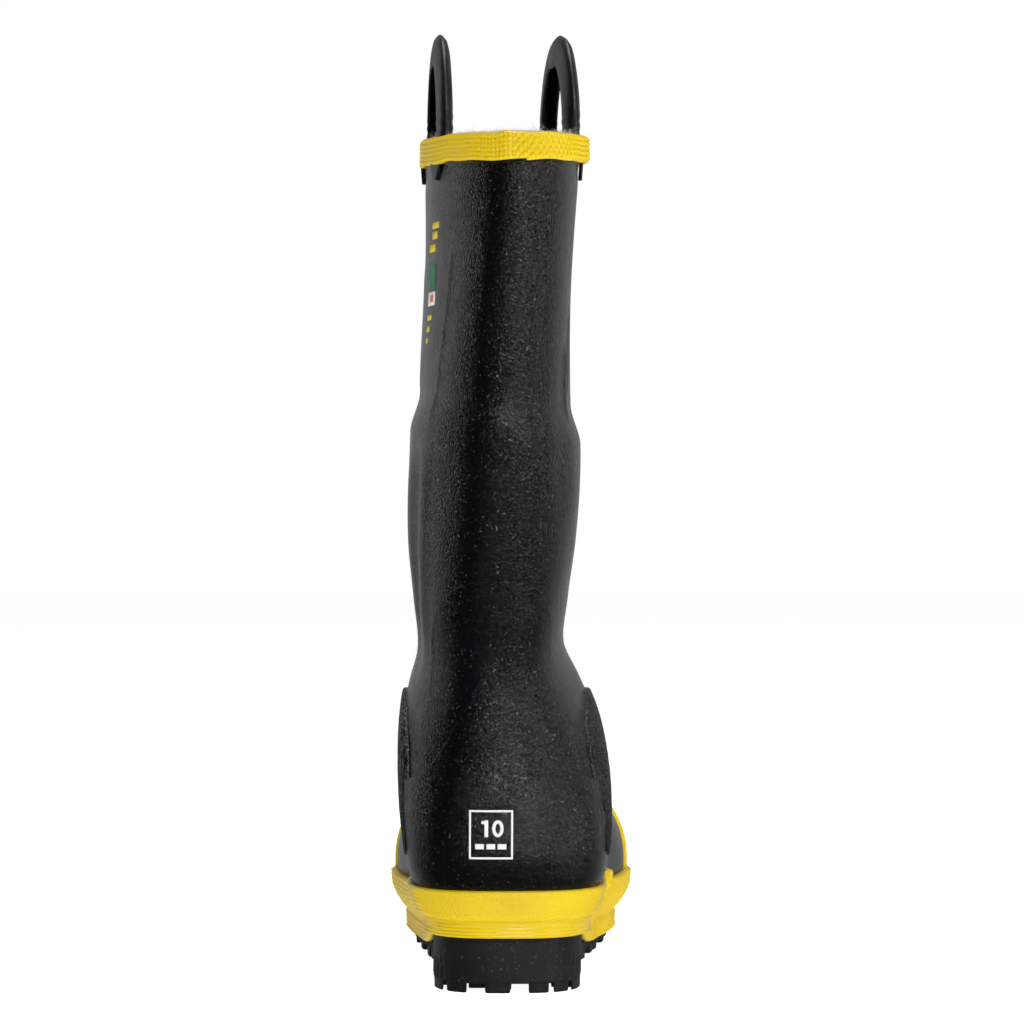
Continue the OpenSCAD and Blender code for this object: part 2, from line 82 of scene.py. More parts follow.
class FireBootSizes(bpy.types.PropertyGroup):
    """Sizes of the boot. They match the frame's, apart from the straps' rise and the
    surface details."""

    rim_height: length("Rim height", "Height of the rim over the ground, at the back", RIM_MM)
    rim_slope: length("Rim slope", "Rise of the rim from the back to the front", RIM_SLOPE_MM)
    leg_width: length("Leg width", "Width of the leg at the rim, over the rubber", 72.8)
    leg_depth: length("Leg depth", "Depth of the leg at the rim, front to back", 166)
    leg_twist: FloatProperty(name="Leg twist", description="Turn of the rim against the foot",
                             default=math.radians(8), subtype="ANGLE", unit="ROTATION")
    ankle_width: length("Ankle width", "Width at the ankle, over the rubber", 63.4)
    foot_length: length("Foot length", "Heel back to toe tip of the upper", 316)
    ball_width: length("Ball width", "Widest part of the forefoot, over the rubber", 118.8)
    heel_width: length("Heel width", "Widest part of the heel, over the rubber", 96)
    toe_height: length("Toe height", "Height of the toe box over the ground", 87)
    rubber: length("Rubber", "Thickness of the rubber", 2.4)
    lining: length("Lining", "Thickness of the fleece lining", 4)
    padding: length("Padding", "Thickness of the foam sleeve in the lower leg", 4.2)
    overlay: length("Overlays", "Thickness of the overlays behind the ankle", 1.6)
    ankle_pad: length("Ankle pads", "Thickness of the ribbed ankle pads", 2.6)
    binding: length("Rim band", "Thickness of the yellow band at the rim", 2)
    binding_height: length("Rim band height", "Height of the yellow band at the rim", 14)
    foxing: length("Foxing", "Thickness of the yellow band around the sole", 3.2)
    heel_height: length("Heel height", "Height of the heel block", 26)
    sole: length("Sole", "Thickness of the sole under the ball, with lugs", 9)
    lug_depth: length("Lug depth", "Depth of the tread's grooves", 5)
    strap_rise: length("Strap rise", "Rise of each pull strap over the rim", 51)
    strap_spread: length("Strap spread", "Distance between the two legs of a strap", 66)
    strap_width: length("Strap width", "Width of a pull strap", 14)
    knurl: length("Knurl", "Pitch of the fine pyramids on the yellow bands", 2.1)
    fibres: IntProperty(name="Fibres", description="Loose fibres of the lining at the rim",
                        default=1500, min=0, max=6000)


class FireBootColours(bpy.types.PropertyGroup):
    """Colours of the boot's materials."""

    rubber: colour("Rubber", "Black rubber of the upper", (0.0022, 0.0022, 0.0026, 1))
    sole: colour("Sole", "Black rubber of the tread", (0.006, 0.006, 0.0062, 1))
    yellow: colour("Yellow", "Rubber of the yellow bands", (0.78, 0.57, 0.003, 1))
    fleece: colour("Fleece", "Lining", (0.80, 0.76, 0.66, 1))
    footbed: colour("Footbed", "Knitted cover of the footbed", (0.035, 0.045, 0.075, 1))
    foam: colour("Foam", "Foam under the rubber", (0.55, 0.48, 0.30, 1))
    board: colour("Board", "Fibre board under the lining", (0.24, 0.13, 0.06, 1))
    steel: colour("Steel", "Toe cap, shank and plate", (0.46, 0.46, 0.48, 1))
    print_white: colour("White print", "Size mark on the heel", (0.82, 0.82, 0.82, 1))
    print_green: colour("Green print", "Blank green mark on the leg", (0.02, 0.17, 0.07, 1))
    print_orange: colour("Orange print", "Blank orange mark on the leg", (0.75, 0.16, 0.05, 1))


def size(name):
    """A size in millimetres."""
    return getattr(bpy.context.scene.fire_boot_sizes, name) / MM


def tint(name):
    """A colour, with its alpha."""
    return tuple(getattr(bpy.context.scene.fire_boot_colours, name))


# ------------------------------------------------------------------ the shape of the boot

def ease(t):
    """0 to 1 with a soft start and end."""
    t = np.clip(t, 0, 1)
    return t * t * (3 - 2 * t)


def bump(x, centre, half):
    """1 at the centre, falling smoothly to 0 at half a width away."""
    return 1 - ease(np.abs(x - centre) / half)


# The back of the heel, the last slice of the toe and the slice where vamp and leg meet
HEEL_Y = -47.0
LAST_RING = 22
SEAM_RING = 11.6
# Height of the foam sleeve's upper edge and how fast it steps in there, and the same below
FOAM_TOP, FOAM_STEP, FOAM_LOW, FOAM_FADE = 284, 20, 70, 70
# How far the yellow band leans in at its foot, the share of its height that does so, its room
# off the rubber, and where its two pieces meet on the inner and the outer side
LEAN = 9.5
UPRIGHT = 0.36
BAND_ROOM = 0.8
INNER_JOINT, OUTER_JOINT = 0.205, 0.775
# The seam in the rim's band and the end of its coarse part, in degrees round the rim
RIM_SEAM, COARSE_END = -7, 75
# Slices of the boot and line of the yellow band for the present sizes
SHAPE = {}


def tip_y():
    """Where the toe's rubber ends, without its own thickness."""
    return HEEL_Y + size("foot_length") - size("rubber") * 2


def rings():
    """Slices of the upper inside the rubber, from the rim to the toe: front or top y and z,
    back or sole y and z, half width, share of the way up where it is widest, shift of its
    centre to the inner side and turn."""
    skin = size("rubber")
    leg, ankle = size("leg_width") / 2 - skin, size("ankle_width") / 2 - skin
    heel, ball = size("heel_width") / 2 - skin, size("ball_width") / 2 - skin
    front = size("leg_depth") * 0.675
    back = front - size("leg_depth")
    rim, toe = size("rim_height"), size("toe_height")
    tip = tip_y()
    turn = math.degrees(bpy.context.scene.fire_boot_sizes.leg_twist)
    return np.array([
        [front, rim + size("rim_slope"), back, rim, leg, 0.50, -2.6, turn],
        [front - 2, 368, back + 1, 368, leg - 1.6, 0.50, -4.2, turn],
        [front - 5, 330, back + 3, 330, leg - 1.9, 0.50, -5.4, turn * 0.9],
        [front - 8, 292, back + 5, 292, leg - 0.6, 0.50, -6.3, turn * 0.75],
        [front - 11, 255, back + 8, 250, leg + 1, 0.50, -6.3, turn * 0.6],
        [front - 13, 222, -42, 212, leg, 0.50, -7.0, turn * 0.4],
        [100, 196, -37, 180, ankle + 1.8, 0.50, -7.6, 1],
        [104, 177, -33, 150, ankle, 0.50, -8.0, 0],
        [108, 164, -36, 118, heel - 9, 0.47, -6.0, 0],
        [111, 154, -43, 88, heel - 3, 0.42, -3.0, 0],
        [113, 146, HEEL_Y, 62, heel, 0.38, -1.0, 0],
        [115, 139, -38, 42, heel, 0.36, 0, 0],
        [118, 132, -4, 37, heel - 1, 0.36, 0, 0],
        [123, 124, 48, 32, heel - 1, 0.36, 0, 0],
        [134, 114, 104, 21, ball - 10, 0.36, 0, 0],
        [152, 104, 148, 17, ball - 3, 0.36, 1, 0],
        [178, toe + 7, 178, 17, ball, 0.36, 1.5, 0],
        [202, toe, 202, 18, ball - 1, 0.38, 2, 0],
        [tip - 38, toe - 6, tip - 38, 20, ball - 5, 0.40, 2, 0],
        [tip - 20, toe - 13, tip - 20, 24, ball - 14, 0.42, 2, 0],
        [tip - 8, toe - 22, tip - 8, 29, ball - 27, 0.42, 2, 0],
        [tip - 2, toe - 33, tip - 2, 34, ball - 40, 0.42, 2, 0],
        [tip, toe - 46, tip, 39, 1, 0.50, 2, 0]])


def along(rows, u):
    """A smooth curve through the rows of a table, read at row u."""
    rows = np.asarray(rows, float)
    last = len(rows) - 1
    u = np.clip(np.asarray(u, float), 0, last)
    i = np.minimum(np.floor(u).astype(int), last - 1)
    t = u - i
    first, final = i == 0, i == last - 1
    if rows.ndim > 1:
        t, first, final = t[..., None], first[..., None], final[..., None]
    b, d = rows[i], rows[i + 1]
    a = np.where(first, 2 * b - d, rows[np.maximum(i - 1, 0)])
    e = np.where(final, 2 * d - b, rows[np.minimum(i + 2, last)])
    return 0.5 * (2 * b + (d - a) * t + (2 * a - 5 * b + 4 * d - e) * t * t
                  + (3 * b - a - 3 * d + e) * t ** 3)


def foam_at(z):
    """Thickness of the foam sleeve at height z."""
    return size("padding") * ease((FOAM_TOP - z) / FOAM_STEP) * ease((z - FOAM_LOW) / FOAM_FADE)


def rim_at(y):
    """Height of the rim at this place along the foot."""
    front, back = SHAPE["rings"][0][0], SHAPE["rings"][0][2]
    return size("rim_height") + size("rim_slope") * (y - back) / (front - back)


def middle_height(u):
    """Height of the widest place of ring u."""
    r = along(SHAPE["rings"], u)
    return r[..., 3] * (1 - r[..., 5]) + r[..., 1] * r[..., 5]


def ring_point(u, a, out):
    """Points of ring u at angle a, in degrees: 0 at the back or sole, 90 on the inner side,
    180 at the front or top. They are moved out from the lining's outside by out."""
    u, a, out = np.broadcast_arrays(np.asarray(u, float), np.asarray(a, float), out)
    r = along(SHAPE["rings"], u)
    front_y, front_z, back_y, back_z, half, low, shift, turn = np.moveaxis(r, -1, 0)
    rise, run = front_z - back_z, front_y - back_y
    long = np.hypot(rise, run)
    out = out + foam_at(back_z * (1 - low) + front_z * low)
    c, s = np.cos(np.radians(a)), np.sin(np.radians(a))
    back = c > 0
    n = np.where(back, 2.1 + 0.9 * ease((u - 7) / 5) - 0.8 * ease((u - 18) / 4),
                 2.1 + 0.35 * ease((u - 15) / 5) - 0.35 * ease((u - 20) / 2))
    reach = np.where(back, low, 1 - low) * long + out
    q = low * long - np.sign(c) * np.abs(c) ** (2 / n) * reach
    x = (half + out) * np.sign(s) * np.abs(s) ** (2 / n)
    y = back_y + q * run / long + out * ease((u - 17) / 5)
    z = back_z + q * rise / long
    mid, w = (front_y + back_y) / 2, np.radians(turn)
    return np.stack([shift + x * np.cos(w) - (y - mid) * np.sin(w),
                     mid + x * np.sin(w) + (y - mid) * np.cos(w), z], -1)


def ring_at(z, a):
    """The rings of leg and heel whose points at angle a are at height z, found by halving."""
    z, a = np.broadcast_arrays(np.asarray(z, float), np.asarray(a, float))
    low, high = np.full(z.shape, 0.0), np.full(z.shape, 13.0)
    for _ in range(18):
        half = (low + high) / 2
        above = ring_point(half, a, 0)[..., 2] > z
        low, high = np.where(above, half, low), np.where(above, high, half)
    return (low + high) / 2


def heel_spots(x, z):
    """Ring and angle of the points of the heel's back at these x and z, seen from behind."""
    x, z = np.broadcast_arrays(np.asarray(x, float), np.asarray(z, float))
    low, high = np.full(x.shape, -75.0), np.full(x.shape, 75.0)
    for _ in range(16):
        half = (low + high) / 2
        left = ring_point(ring_at(z, half), half, size("rubber"))[..., 0] < x
        low, high = np.where(left, half, low), np.where(left, high, half)
    a = (low + high) / 2
    return ring_at(z, a), a


def rand_line():
    """Line of the rubber behind the top of the yellow band, round from the heel's back."""
    rear, fore = size("heel_width") / 2 - 2.6, size("ball_width") / 2
    tip = tip_y()
    return np.array([
        [0, HEEL_Y - 1.8], [rear - 24, HEEL_Y + 1], [rear - 9, -34.5], [rear - 1.5, -16],
        [rear, 10], [rear, 42], [rear, 76], [fore - 10, 110], [fore - 2.5, 146],
        [fore + 2.2, 182], [fore + 1.2, 206], [fore - 3.2, 230.6], [fore - 20, 257.2],
        [2, tip + 5.3], [24 - fore, 257.2], [7.2 - fore, 230.6], [2.8 - fore, 206], [0.9 - fore, 182],
        [4.5 - fore, 146], [10.5 - fore, 110], [-rear, 76], [-rear, 42], [-rear, 10],
        [1.5 - rear, -16], [9 - rear, -34.5], [24 - rear, HEEL_Y + 1]], float)


def update_shape():
    """Works out the slices and the band's line from the sizes in the sidebar."""
    SHAPE["rings"] = rings()
    SHAPE["line"] = rand_line()


def line_raw(s):
    """A point of the band's line at s, from 0 to 1."""
    line = SHAPE["line"]
    n = len(line)
    v = (np.asarray(s, float) % 1) * n
    i = np.floor(v).astype(int) % n
    t = (v - np.floor(v))[..., None]
    a, b, d, e = line[i - 1], line[i], line[(i + 1) % n], line[(i + 2) % n]
    return 0.5 * (2 * b + (d - a) * t + (2 * a - 5 * b + 4 * d - e) * t * t
                  + (3 * b - a - 3 * d + e) * t ** 3)


def line_point(s, out):
    """A point of the line at s, from 0 to 1, moved outwards."""
    p, d = line_raw(s), line_raw(np.asarray(s) + 0.002) - line_raw(np.asarray(s) - 0.002)
    d = d / np.linalg.norm(d, axis=-1, keepdims=True)
    out = np.broadcast_to(out, p.shape[:-1])
    return np.stack([p[..., 0] + out * d[..., 1], p[..., 1] - out * d[..., 0]], -1)


def line_x(y, side, out):
    """Where the line, moved out, crosses y on the inner (+1) or outer (-1) side."""
    y = np.asarray(y, float)
    low, high = np.zeros(y.shape), np.full(y.shape, 0.5)
    for _ in range(22):
        half = (low + high) / 2
        p = line_point(half if side > 0 else 1 - half, out)
        below = p[..., 1] < y
        low, high = np.where(below, half, low), np.where(below, high, half)
    half = (low + high) / 2
    return line_point(half if side > 0 else 1 - half, out)[..., 0]


def sole_top(y):
    """Height of the sole's upper side along the foot."""
    heel = size("heel_height")
    return heel + (size("sole") - heel) * ease((y - 25) / 85) + 9 * ease((y - 190) / 110)


def band_top(y):
    """Height of the yellow band's upper edge along the foot."""
    return 49.5 - 9.5 * ease((y - 20) / 110) + 6 * ease((y - 200) / 80)


# ------------------------------------------------------------------ surface patterns

def wave(v):
    """A saw wave from 0 to 1 and back, once per unit."""
    return 1 - np.abs(2 * (v - np.floor(v)) - 1)


def pyramids(x, y, pitch):
    """Pyramids in rows, from 0 to 1."""
    return np.minimum(wave(x / pitch), wave(y / pitch))


def staggered(x, y, wide, high):
    """Diamond-shaped pyramids in staggered rows, from 0 to 1."""
    return np.minimum(wave(x / wide + y / high), wave(x / wide - y / high))


def ripple(*terms):
    """Slow waves: each term is (amount, phase values)."""
    return sum(amount * np.sin(phase) for amount, phase in terms)


def run_length(points):
    """Distance along each row of a grid of points."""
    step = np.linalg.norm(np.diff(points, axis=1), axis=-1)
    return np.concatenate([np.zeros((len(points), 1)), np.cumsum(step, axis=1)], axis=1)


def rise_length(points):
    """Distance along each column of a grid of points."""
    return run_length(points.swapaxes(0, 1)).swapaxes(0, 1)


def rounded(d, r):
    """Height, from 0 to 1, of an edge rounded with radius r, at distance d from it."""
    t = 1 - np.clip(d / r, 0, 1)
    return np.sqrt(np.clip(1 - t * t, 0, 1))


def edge_distance(points):
    """Distance of each point of a grid from the grid's nearest edge, along its rows and
    columns."""
    across, up = run_length(points), rise_length(points)
    return np.minimum(np.minimum(across, across[:, -1:] - across),
                      np.minimum(up, up[-1:] - up))


def spaced(n, sharp=0.75):
    """n + 1 places from 0 to 1, closer together at both ends."""
    t = np.linspace(0, 1, n + 1)
    return (1 - sharp) * t + sharp * (0.5 - 0.5 * np.cos(np.pi * t))


# ------------------------------------------------------------------ meshes

def mesh_object(name, points, faces, material, body="boot", slot=None, sharp=None):
    """A piece from points in millimetres and four-sided faces. It rides on a body."""
    points, faces = np.asarray(points, float).reshape(-1, 3), np.asarray(faces, int)
    p = points[faces]
    volume = np.einsum("ij,ij->", p[:, 0], np.cross(p[:, 1], p[:, 2])
                       + np.cross(p[:, 2], p[:, 3]))
    if volume < 0:
        faces = faces[:, ::-1]
    mesh = bpy.data.meshes.new(name)
    mesh.vertices.add(len(points))
    mesh.vertices.foreach_set("co", (points * MM).ravel())
    mesh.loops.add(faces.size)
    mesh.loops.foreach_set("vertex_index", faces.ravel())
    mesh.polygons.add(len(faces))
    mesh.polygons.foreach_set("loop_start", np.arange(0, faces.size, 4))
    mesh.polygons.foreach_set("loop_total", np.full(len(faces), 4))
    mesh.update(calc_edges=True)
    mesh.validate()
    mesh.polygons.foreach_set("use_smooth", np.ones(len(mesh.polygons), bool))
    if sharp:
        mesh.set_sharp_from_angle(angle=math.radians(sharp))
    mesh.materials.append(material)
    obj = bpy.data.objects.new(name, mesh)
    bpy.context.scene.collection.objects.link(obj)
    if body:
        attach(obj, body)
    return obj


def grid_faces(rows, cols, wrap, start=0):
    i, j = np.meshgrid(np.arange(rows - 1), np.arange(cols if wrap else cols - 1),
                       indexing="ij")
    k = (j + 1) % cols
    at = start + i * cols
    return np.stack([at + j, at + k, at + cols + k, at + cols + j], -1).reshape(-1, 4)


def join_rows(a, b, cols, wrap):
    """Faces between two rows of points that start at a and b."""
    j = np.arange(cols if wrap else cols - 1)
    k = (j + 1) % cols
    return np.stack([a + j, a + k, b + k, b + j], -1)


def skin(outer, inner, wrap):
    """Points and faces of a closed skin between two grids with as many columns. Open ones
    need as many rows too."""
    rows, cols = outer.shape[:2]
    deep = inner.shape[0]
    n = rows * cols
    faces = [grid_faces(rows, cols, wrap), grid_faces(deep, cols, wrap, n)[:, ::-1],
             join_rows(0, n, cols, wrap)[:, ::-1],
             join_rows(n - cols, n + (deep - 1) * cols, cols, wrap)]
    if not wrap:
        i = np.arange(rows - 1)
        for j, flip in ((0, 1), (cols - 1, -1)):
            a = i * cols + j
            side = np.stack([a, a + cols, a + cols + n, a + n], -1)
            faces.append(side[:, ::flip])
    return (np.concatenate([outer.reshape(-1, 3), inner.reshape(-1, 3)]),
            np.concatenate(faces))


def tube(loops):
    """Points and faces of a tube through loops of points, its ends drawn to a middle."""
    rows, cols = loops.shape[:2]
    faces = [grid_faces(rows, cols, True)]
    points = [loops.reshape(-1, 3)]
    for row, flip in ((0, -1), (rows - 1, 1)):
        start = sum(len(p) for p in points)
        points.append(np.repeat(loops[row].mean(0)[None], cols, 0))
        faces.append(join_rows(row * cols, start, cols, True)[:, ::flip])
    return np.concatenate(points), np.concatenate(faces)


def add_parts(parts):
    """Joins the points and faces of several solids."""
    points, faces, n = [], [], 0
    for p, f in parts:
        points.append(p)
        faces.append(f + n)
        n += len(p)
    return np.concatenate(points), np.concatenate(faces)


def patch_grid(a, z_low, z_high, up):
    """Rings and angles of a patch between two heights: a across, up as shares."""
    z = z_high[None, :] + (z_low - z_high)[None, :] * up[:, None]
    aa = np.broadcast_to(a, z.shape)
    return ring_at(z, aa), aa, z


# ------------------------------------------------------------------ shader groups

def new_group(name, inputs, outputs):
    """A shader group, with its input and output nodes."""
    group = bpy.data.node_groups.new(name, "ShaderNodeTree")
    for label, kind, default in inputs:
        socket = group.interface.new_socket(name=label, in_out="INPUT", socket_type=kind)
        socket.default_value = default
    for label, kind in outputs:
        group.interface.new_socket(name=label, in_out="OUTPUT", socket_type=kind)
    return group, group.nodes.new("NodeGroupInput"), group.nodes.new("NodeGroupOutput")


class Nodes:
    """Short hand for building a node tree."""

    def __init__(self, tree):
        self.tree = tree

    def add(self, kind, links=None, **values):
        node = self.tree.nodes.new(kind)
        for key, value in values.items():
            setattr(node, key, value)
        for key, value in (links or {}).items():
            if isinstance(value, bpy.types.NodeSocket):
                self.tree.links.new(value, node.inputs[key])
            else:
                node.inputs[key].default_value = value
        return node

    def math(self, operation, a, b):
        return self.add("ShaderNodeMath", {0: a, 1: b}, operation=operation).outputs[0]

    def noise(self, vector, scale, detail=2.0, rough=0.5):
        return self.add("ShaderNodeTexNoise", {"Vector": vector, "Scale": scale,
                                               "Detail": detail, "Roughness": rough}).outputs[0]

    def ramp(self, value, low, high, to_low=0.0, to_high=1.0):
        return self.add("ShaderNodeMapRange", {"Value": value, "From Min": low,
                        "From Max": high, "To Min": to_low, "To Max": to_high}).outputs[0]


def pebble_group():
    """Grain of the black rubber: small rounded pebbles with fine noise over them."""
    group, start, end = new_group(
        "Pebble grain",
        [("Scale", "NodeSocketFloat", 900.0), ("Amount", "NodeSocketFloat", 1.0)],
        [("Height", "NodeSocketFloat"), ("Tone", "NodeSocketFloat")])
    n = Nodes(group)
    place = n.add("ShaderNodeTexCoord").outputs["Object"]
    cells = n.add("ShaderNodeTexVoronoi", {"Vector": place, "Scale": start.outputs["Scale"]},
                  feature="SMOOTH_F1").outputs["Distance"]
    fine = n.noise(place, n.math("MULTIPLY", start.outputs["Scale"], 2.3), 2.0, 0.6)
    pebbles = n.math("SUBTRACT", 1.0, cells)
    height = n.math("ADD", n.math("MULTIPLY", pebbles, 0.7), n.math("MULTIPLY", fine, 0.12))
    group.links.new(n.math("MULTIPLY", height, start.outputs["Amount"]), end.inputs["Height"])
    group.links.new(n.noise(place, 38.0, 3.0), end.inputs["Tone"])
    return group


def wear_group():
    """Dust and rub marks: a mask of specks and one of broad patches."""
    group, start, end = new_group("Dust and wear", [("Scale", "NodeSocketFloat", 60.0)],
                                  [("Specks", "NodeSocketFloat"), ("Patches", "NodeSocketFloat")])
    n = Nodes(group)
    place = n.add("ShaderNodeTexCoord").outputs["Object"]
    specks = n.noise(place, n.math("MULTIPLY", start.outputs["Scale"], 30.0), 1.0)
    patches = n.noise(place, start.outputs["Scale"], 4.0, 0.6)
    group.links.new(n.ramp(specks, 0.68, 0.78), end.inputs["Specks"])
    group.links.new(n.ramp(patches, 0.42, 0.68), end.inputs["Patches"])
    return group


def fibre_group():
    """Short fibres lying every way, for fleece, felt and knit."""
    group, start, end = new_group("Fibres", [("Scale", "NodeSocketFloat", 420.0)],
                                  [("Height", "NodeSocketFloat"), ("Tone", "NodeSocketFloat")])
    n = Nodes(group)
    place = n.add("ShaderNodeTexCoord").outputs["Object"]
    strands = n.noise(place, start.outputs["Scale"], 5.0, 0.75)
    tufts = n.noise(place, n.math("MULTIPLY", start.outputs["Scale"], 0.22), 2.0)
    group.links.new(n.math("ADD", strands, tufts), end.inputs["Height"])
    group.links.new(tufts, end.inputs["Tone"])
    return group


def brushed_group():
    """Fine lines of rolled steel."""
    group, start, end = new_group("Rolled steel", [("Scale", "NodeSocketFloat", 40.0)],
                                  [("Lines", "NodeSocketFloat")])
    n = Nodes(group)
    place = n.add("ShaderNodeTexCoord").outputs["Object"]
    long = n.add("ShaderNodeMapping", {"Vector": place, "Scale": (60.0, 1.0, 60.0)})
    lines = n.noise(long.outputs[0], start.outputs["Scale"], 3.0)
    group.links.new(lines, end.inputs["Lines"])
    return group


GROUPS = {}


def shared(name):
    """A shader group, built once."""
    if name not in GROUPS:
        GROUPS[name] = {"pebble": pebble_group, "wear": wear_group,
                        "fibre": fibre_group, "brushed": brushed_group}[name]()
    return GROUPS[name]


def material(name, make):
    """A material, built once."""
    found = bpy.data.materials.get(name)
    if found:
        return found
    mat = bpy.data.materials.new(name)
    mat.use_nodes = True
    mat.node_tree.nodes.clear()
    n = Nodes(mat.node_tree)
    shader = n.add("ShaderNodeBsdfPrincipled")
    end = n.add("ShaderNodeOutputMaterial", {"Surface": shader.outputs[0]})
    end.is_active_output = True
    make(n, shader)
    return mat


def use_group(n, name, **values):
    """Places a shared group in a material, with its own values."""
    node = n.add("ShaderNodeGroup")
    node.node_tree = shared(name)
    for key, value in values.items():
        node.inputs[key].default_value = value
    return node


def mix_colour(n, mask, a, b):
    """Colour a where the mask is 0 and b where it is 1."""
    node = n.add("ShaderNodeMix", data_type="RGBA")
    n.tree.links.new(mask, node.inputs[0])
    for key, value in ((6, a), (7, b)):
        if isinstance(value, bpy.types.NodeSocket):
            n.tree.links.new(value, node.inputs[key])
        else:
            node.inputs[key].default_value = value
    return node.outputs[2]


def lighter(colour, by):
    return tuple(min(c * by, 1.0) for c in colour[:3]) + (1,)


def set_normal(n, shader, height, strength, distance):
    """Bumps the shader's surface by a height. The distance is in millimetres."""
    node = n.add("ShaderNodeBump", {"Height": height, "Strength": strength,
                                    "Distance": distance * MM})
    n.tree.links.new(node.outputs[0], shader.inputs["Normal"])


def rubber_material(name, base, grain, amount, rough):
    """Black rubber: grain gives the sparkle, and dust and handling vary its gloss."""
    def make(n, shader):
        pebble = use_group(n, "pebble", Scale=grain, Amount=1.0)
        wear = use_group(n, "wear", Scale=24.0)
        dark = mix_colour(n, pebble.outputs["Tone"], base, lighter(base, 1.7))
        dusty = mix_colour(n, n.math("MULTIPLY", wear.outputs["Specks"], 0.25), dark,
                           (0.22, 0.22, 0.22, 1))
        n.tree.links.new(dusty, shader.inputs["Base Color"])
        n.tree.links.new(n.ramp(wear.outputs["Patches"], 0, 1, rough, rough + 0.1),
                         shader.inputs["Roughness"])
        set_normal(n, shader, pebble.outputs["Height"], amount, 0.8)
        shader.inputs["Specular IOR Level"].default_value = 0.5
    return material(name, make)


def shell_rubber():
    return rubber_material("Pebbled black rubber", tint("rubber"), 1150.0, 0.9, 0.14)


def overlay_rubber():
    return rubber_material("Overlay black rubber", tint("rubber"), 1250.0, 0.75, 0.15)


def sole_rubber():
    return rubber_material("Sole rubber", tint("sole"), 700.0, 0.18, 0.52)


def strap_rubber():
    return rubber_material("Strap rubber", lighter(tint("rubber"), 2.0), 1500.0, 0.3, 0.34)


def yellow_rubber():
    def make(n, shader):
        pebble = use_group(n, "pebble", Scale=700.0, Amount=1.0)
        wear = use_group(n, "wear", Scale=18.0)
        base = tint("yellow")
        deep = (base[0] * 0.86, base[1] * 0.80, base[2], 1)
        tone = mix_colour(n, pebble.outputs["Tone"], base, deep)
        marked = mix_colour(n, n.math("MULTIPLY", wear.outputs["Specks"], 0.18), tone,
                            (0.30, 0.24, 0.04, 1))
        n.tree.links.new(marked, shader.inputs["Base Color"])
        n.tree.links.new(n.ramp(wear.outputs["Patches"], 0, 1, 0.30, 0.42),
                         shader.inputs["Roughness"])
        set_normal(n, shader, pebble.outputs["Height"], 0.12, 0.3)
        shader.inputs["Specular IOR Level"].default_value = 0.45
    return material("Yellow rubber", make)


def cloth_material(name, base, scale, amount, rough=0.95):
    def make(n, shader):
        fibre = use_group(n, "fibre", Scale=scale)
        tone = mix_colour(n, fibre.outputs["Tone"], lighter(base, 0.78), base)
        n.tree.links.new(tone, shader.inputs["Base Color"])
        n.tree.links.new(n.ramp(fibre.outputs["Tone"], 0.3, 0.7, rough - 0.08, rough),
                         shader.inputs["Roughness"])
        set_normal(n, shader, fibre.outputs["Height"], amount, 0.5)
        shader.inputs["Sheen Weight"].default_value = 0.4
    return material(name, make)


def fleece_material():
    return cloth_material("Fleece", tint("fleece"), 420.0, 0.9)


def steel_material():
    def make(n, shader):
        lines = use_group(n, "brushed", Scale=40.0).outputs["Lines"]
        base = tint("steel")
        n.tree.links.new(mix_colour(n, lines, lighter(base, 0.7), base),
                         shader.inputs["Base Color"])
        n.tree.links.new(n.ramp(lines, 0.3, 0.7, 0.28, 0.5), shader.inputs["Roughness"])
        set_normal(n, shader, lines, 0.15, 0.1)
        shader.inputs["Metallic"].default_value = 1.0
    return material("Rolled steel", make)


def print_material(name, base):
    def make(n, shader):
        wear = use_group(n, "wear", Scale=90.0)
        worn = mix_colour(n, n.math("MULTIPLY", wear.outputs["Specks"], 0.6), base,
                          lighter(base, 0.35))
        n.tree.links.new(worn, shader.inputs["Base Color"])
        n.tree.links.new(n.ramp(wear.outputs["Patches"], 0, 1, 0.45, 0.6),
                         shader.inputs["Roughness"])
        pebble = use_group(n, "pebble", Scale=1250.0, Amount=1.0)
        set_normal(n, shader, pebble.outputs["Height"], 0.15, 0.2)
    return material(name, make)


# ------------------------------------------------------------------ leg and foot rubber

COLS = 256
LEG_ROWS = 300
FOOT_ROWS = 150
# The leg's rubber ends this much under the rim, inside the yellow band
RIM_DROP = 0.6


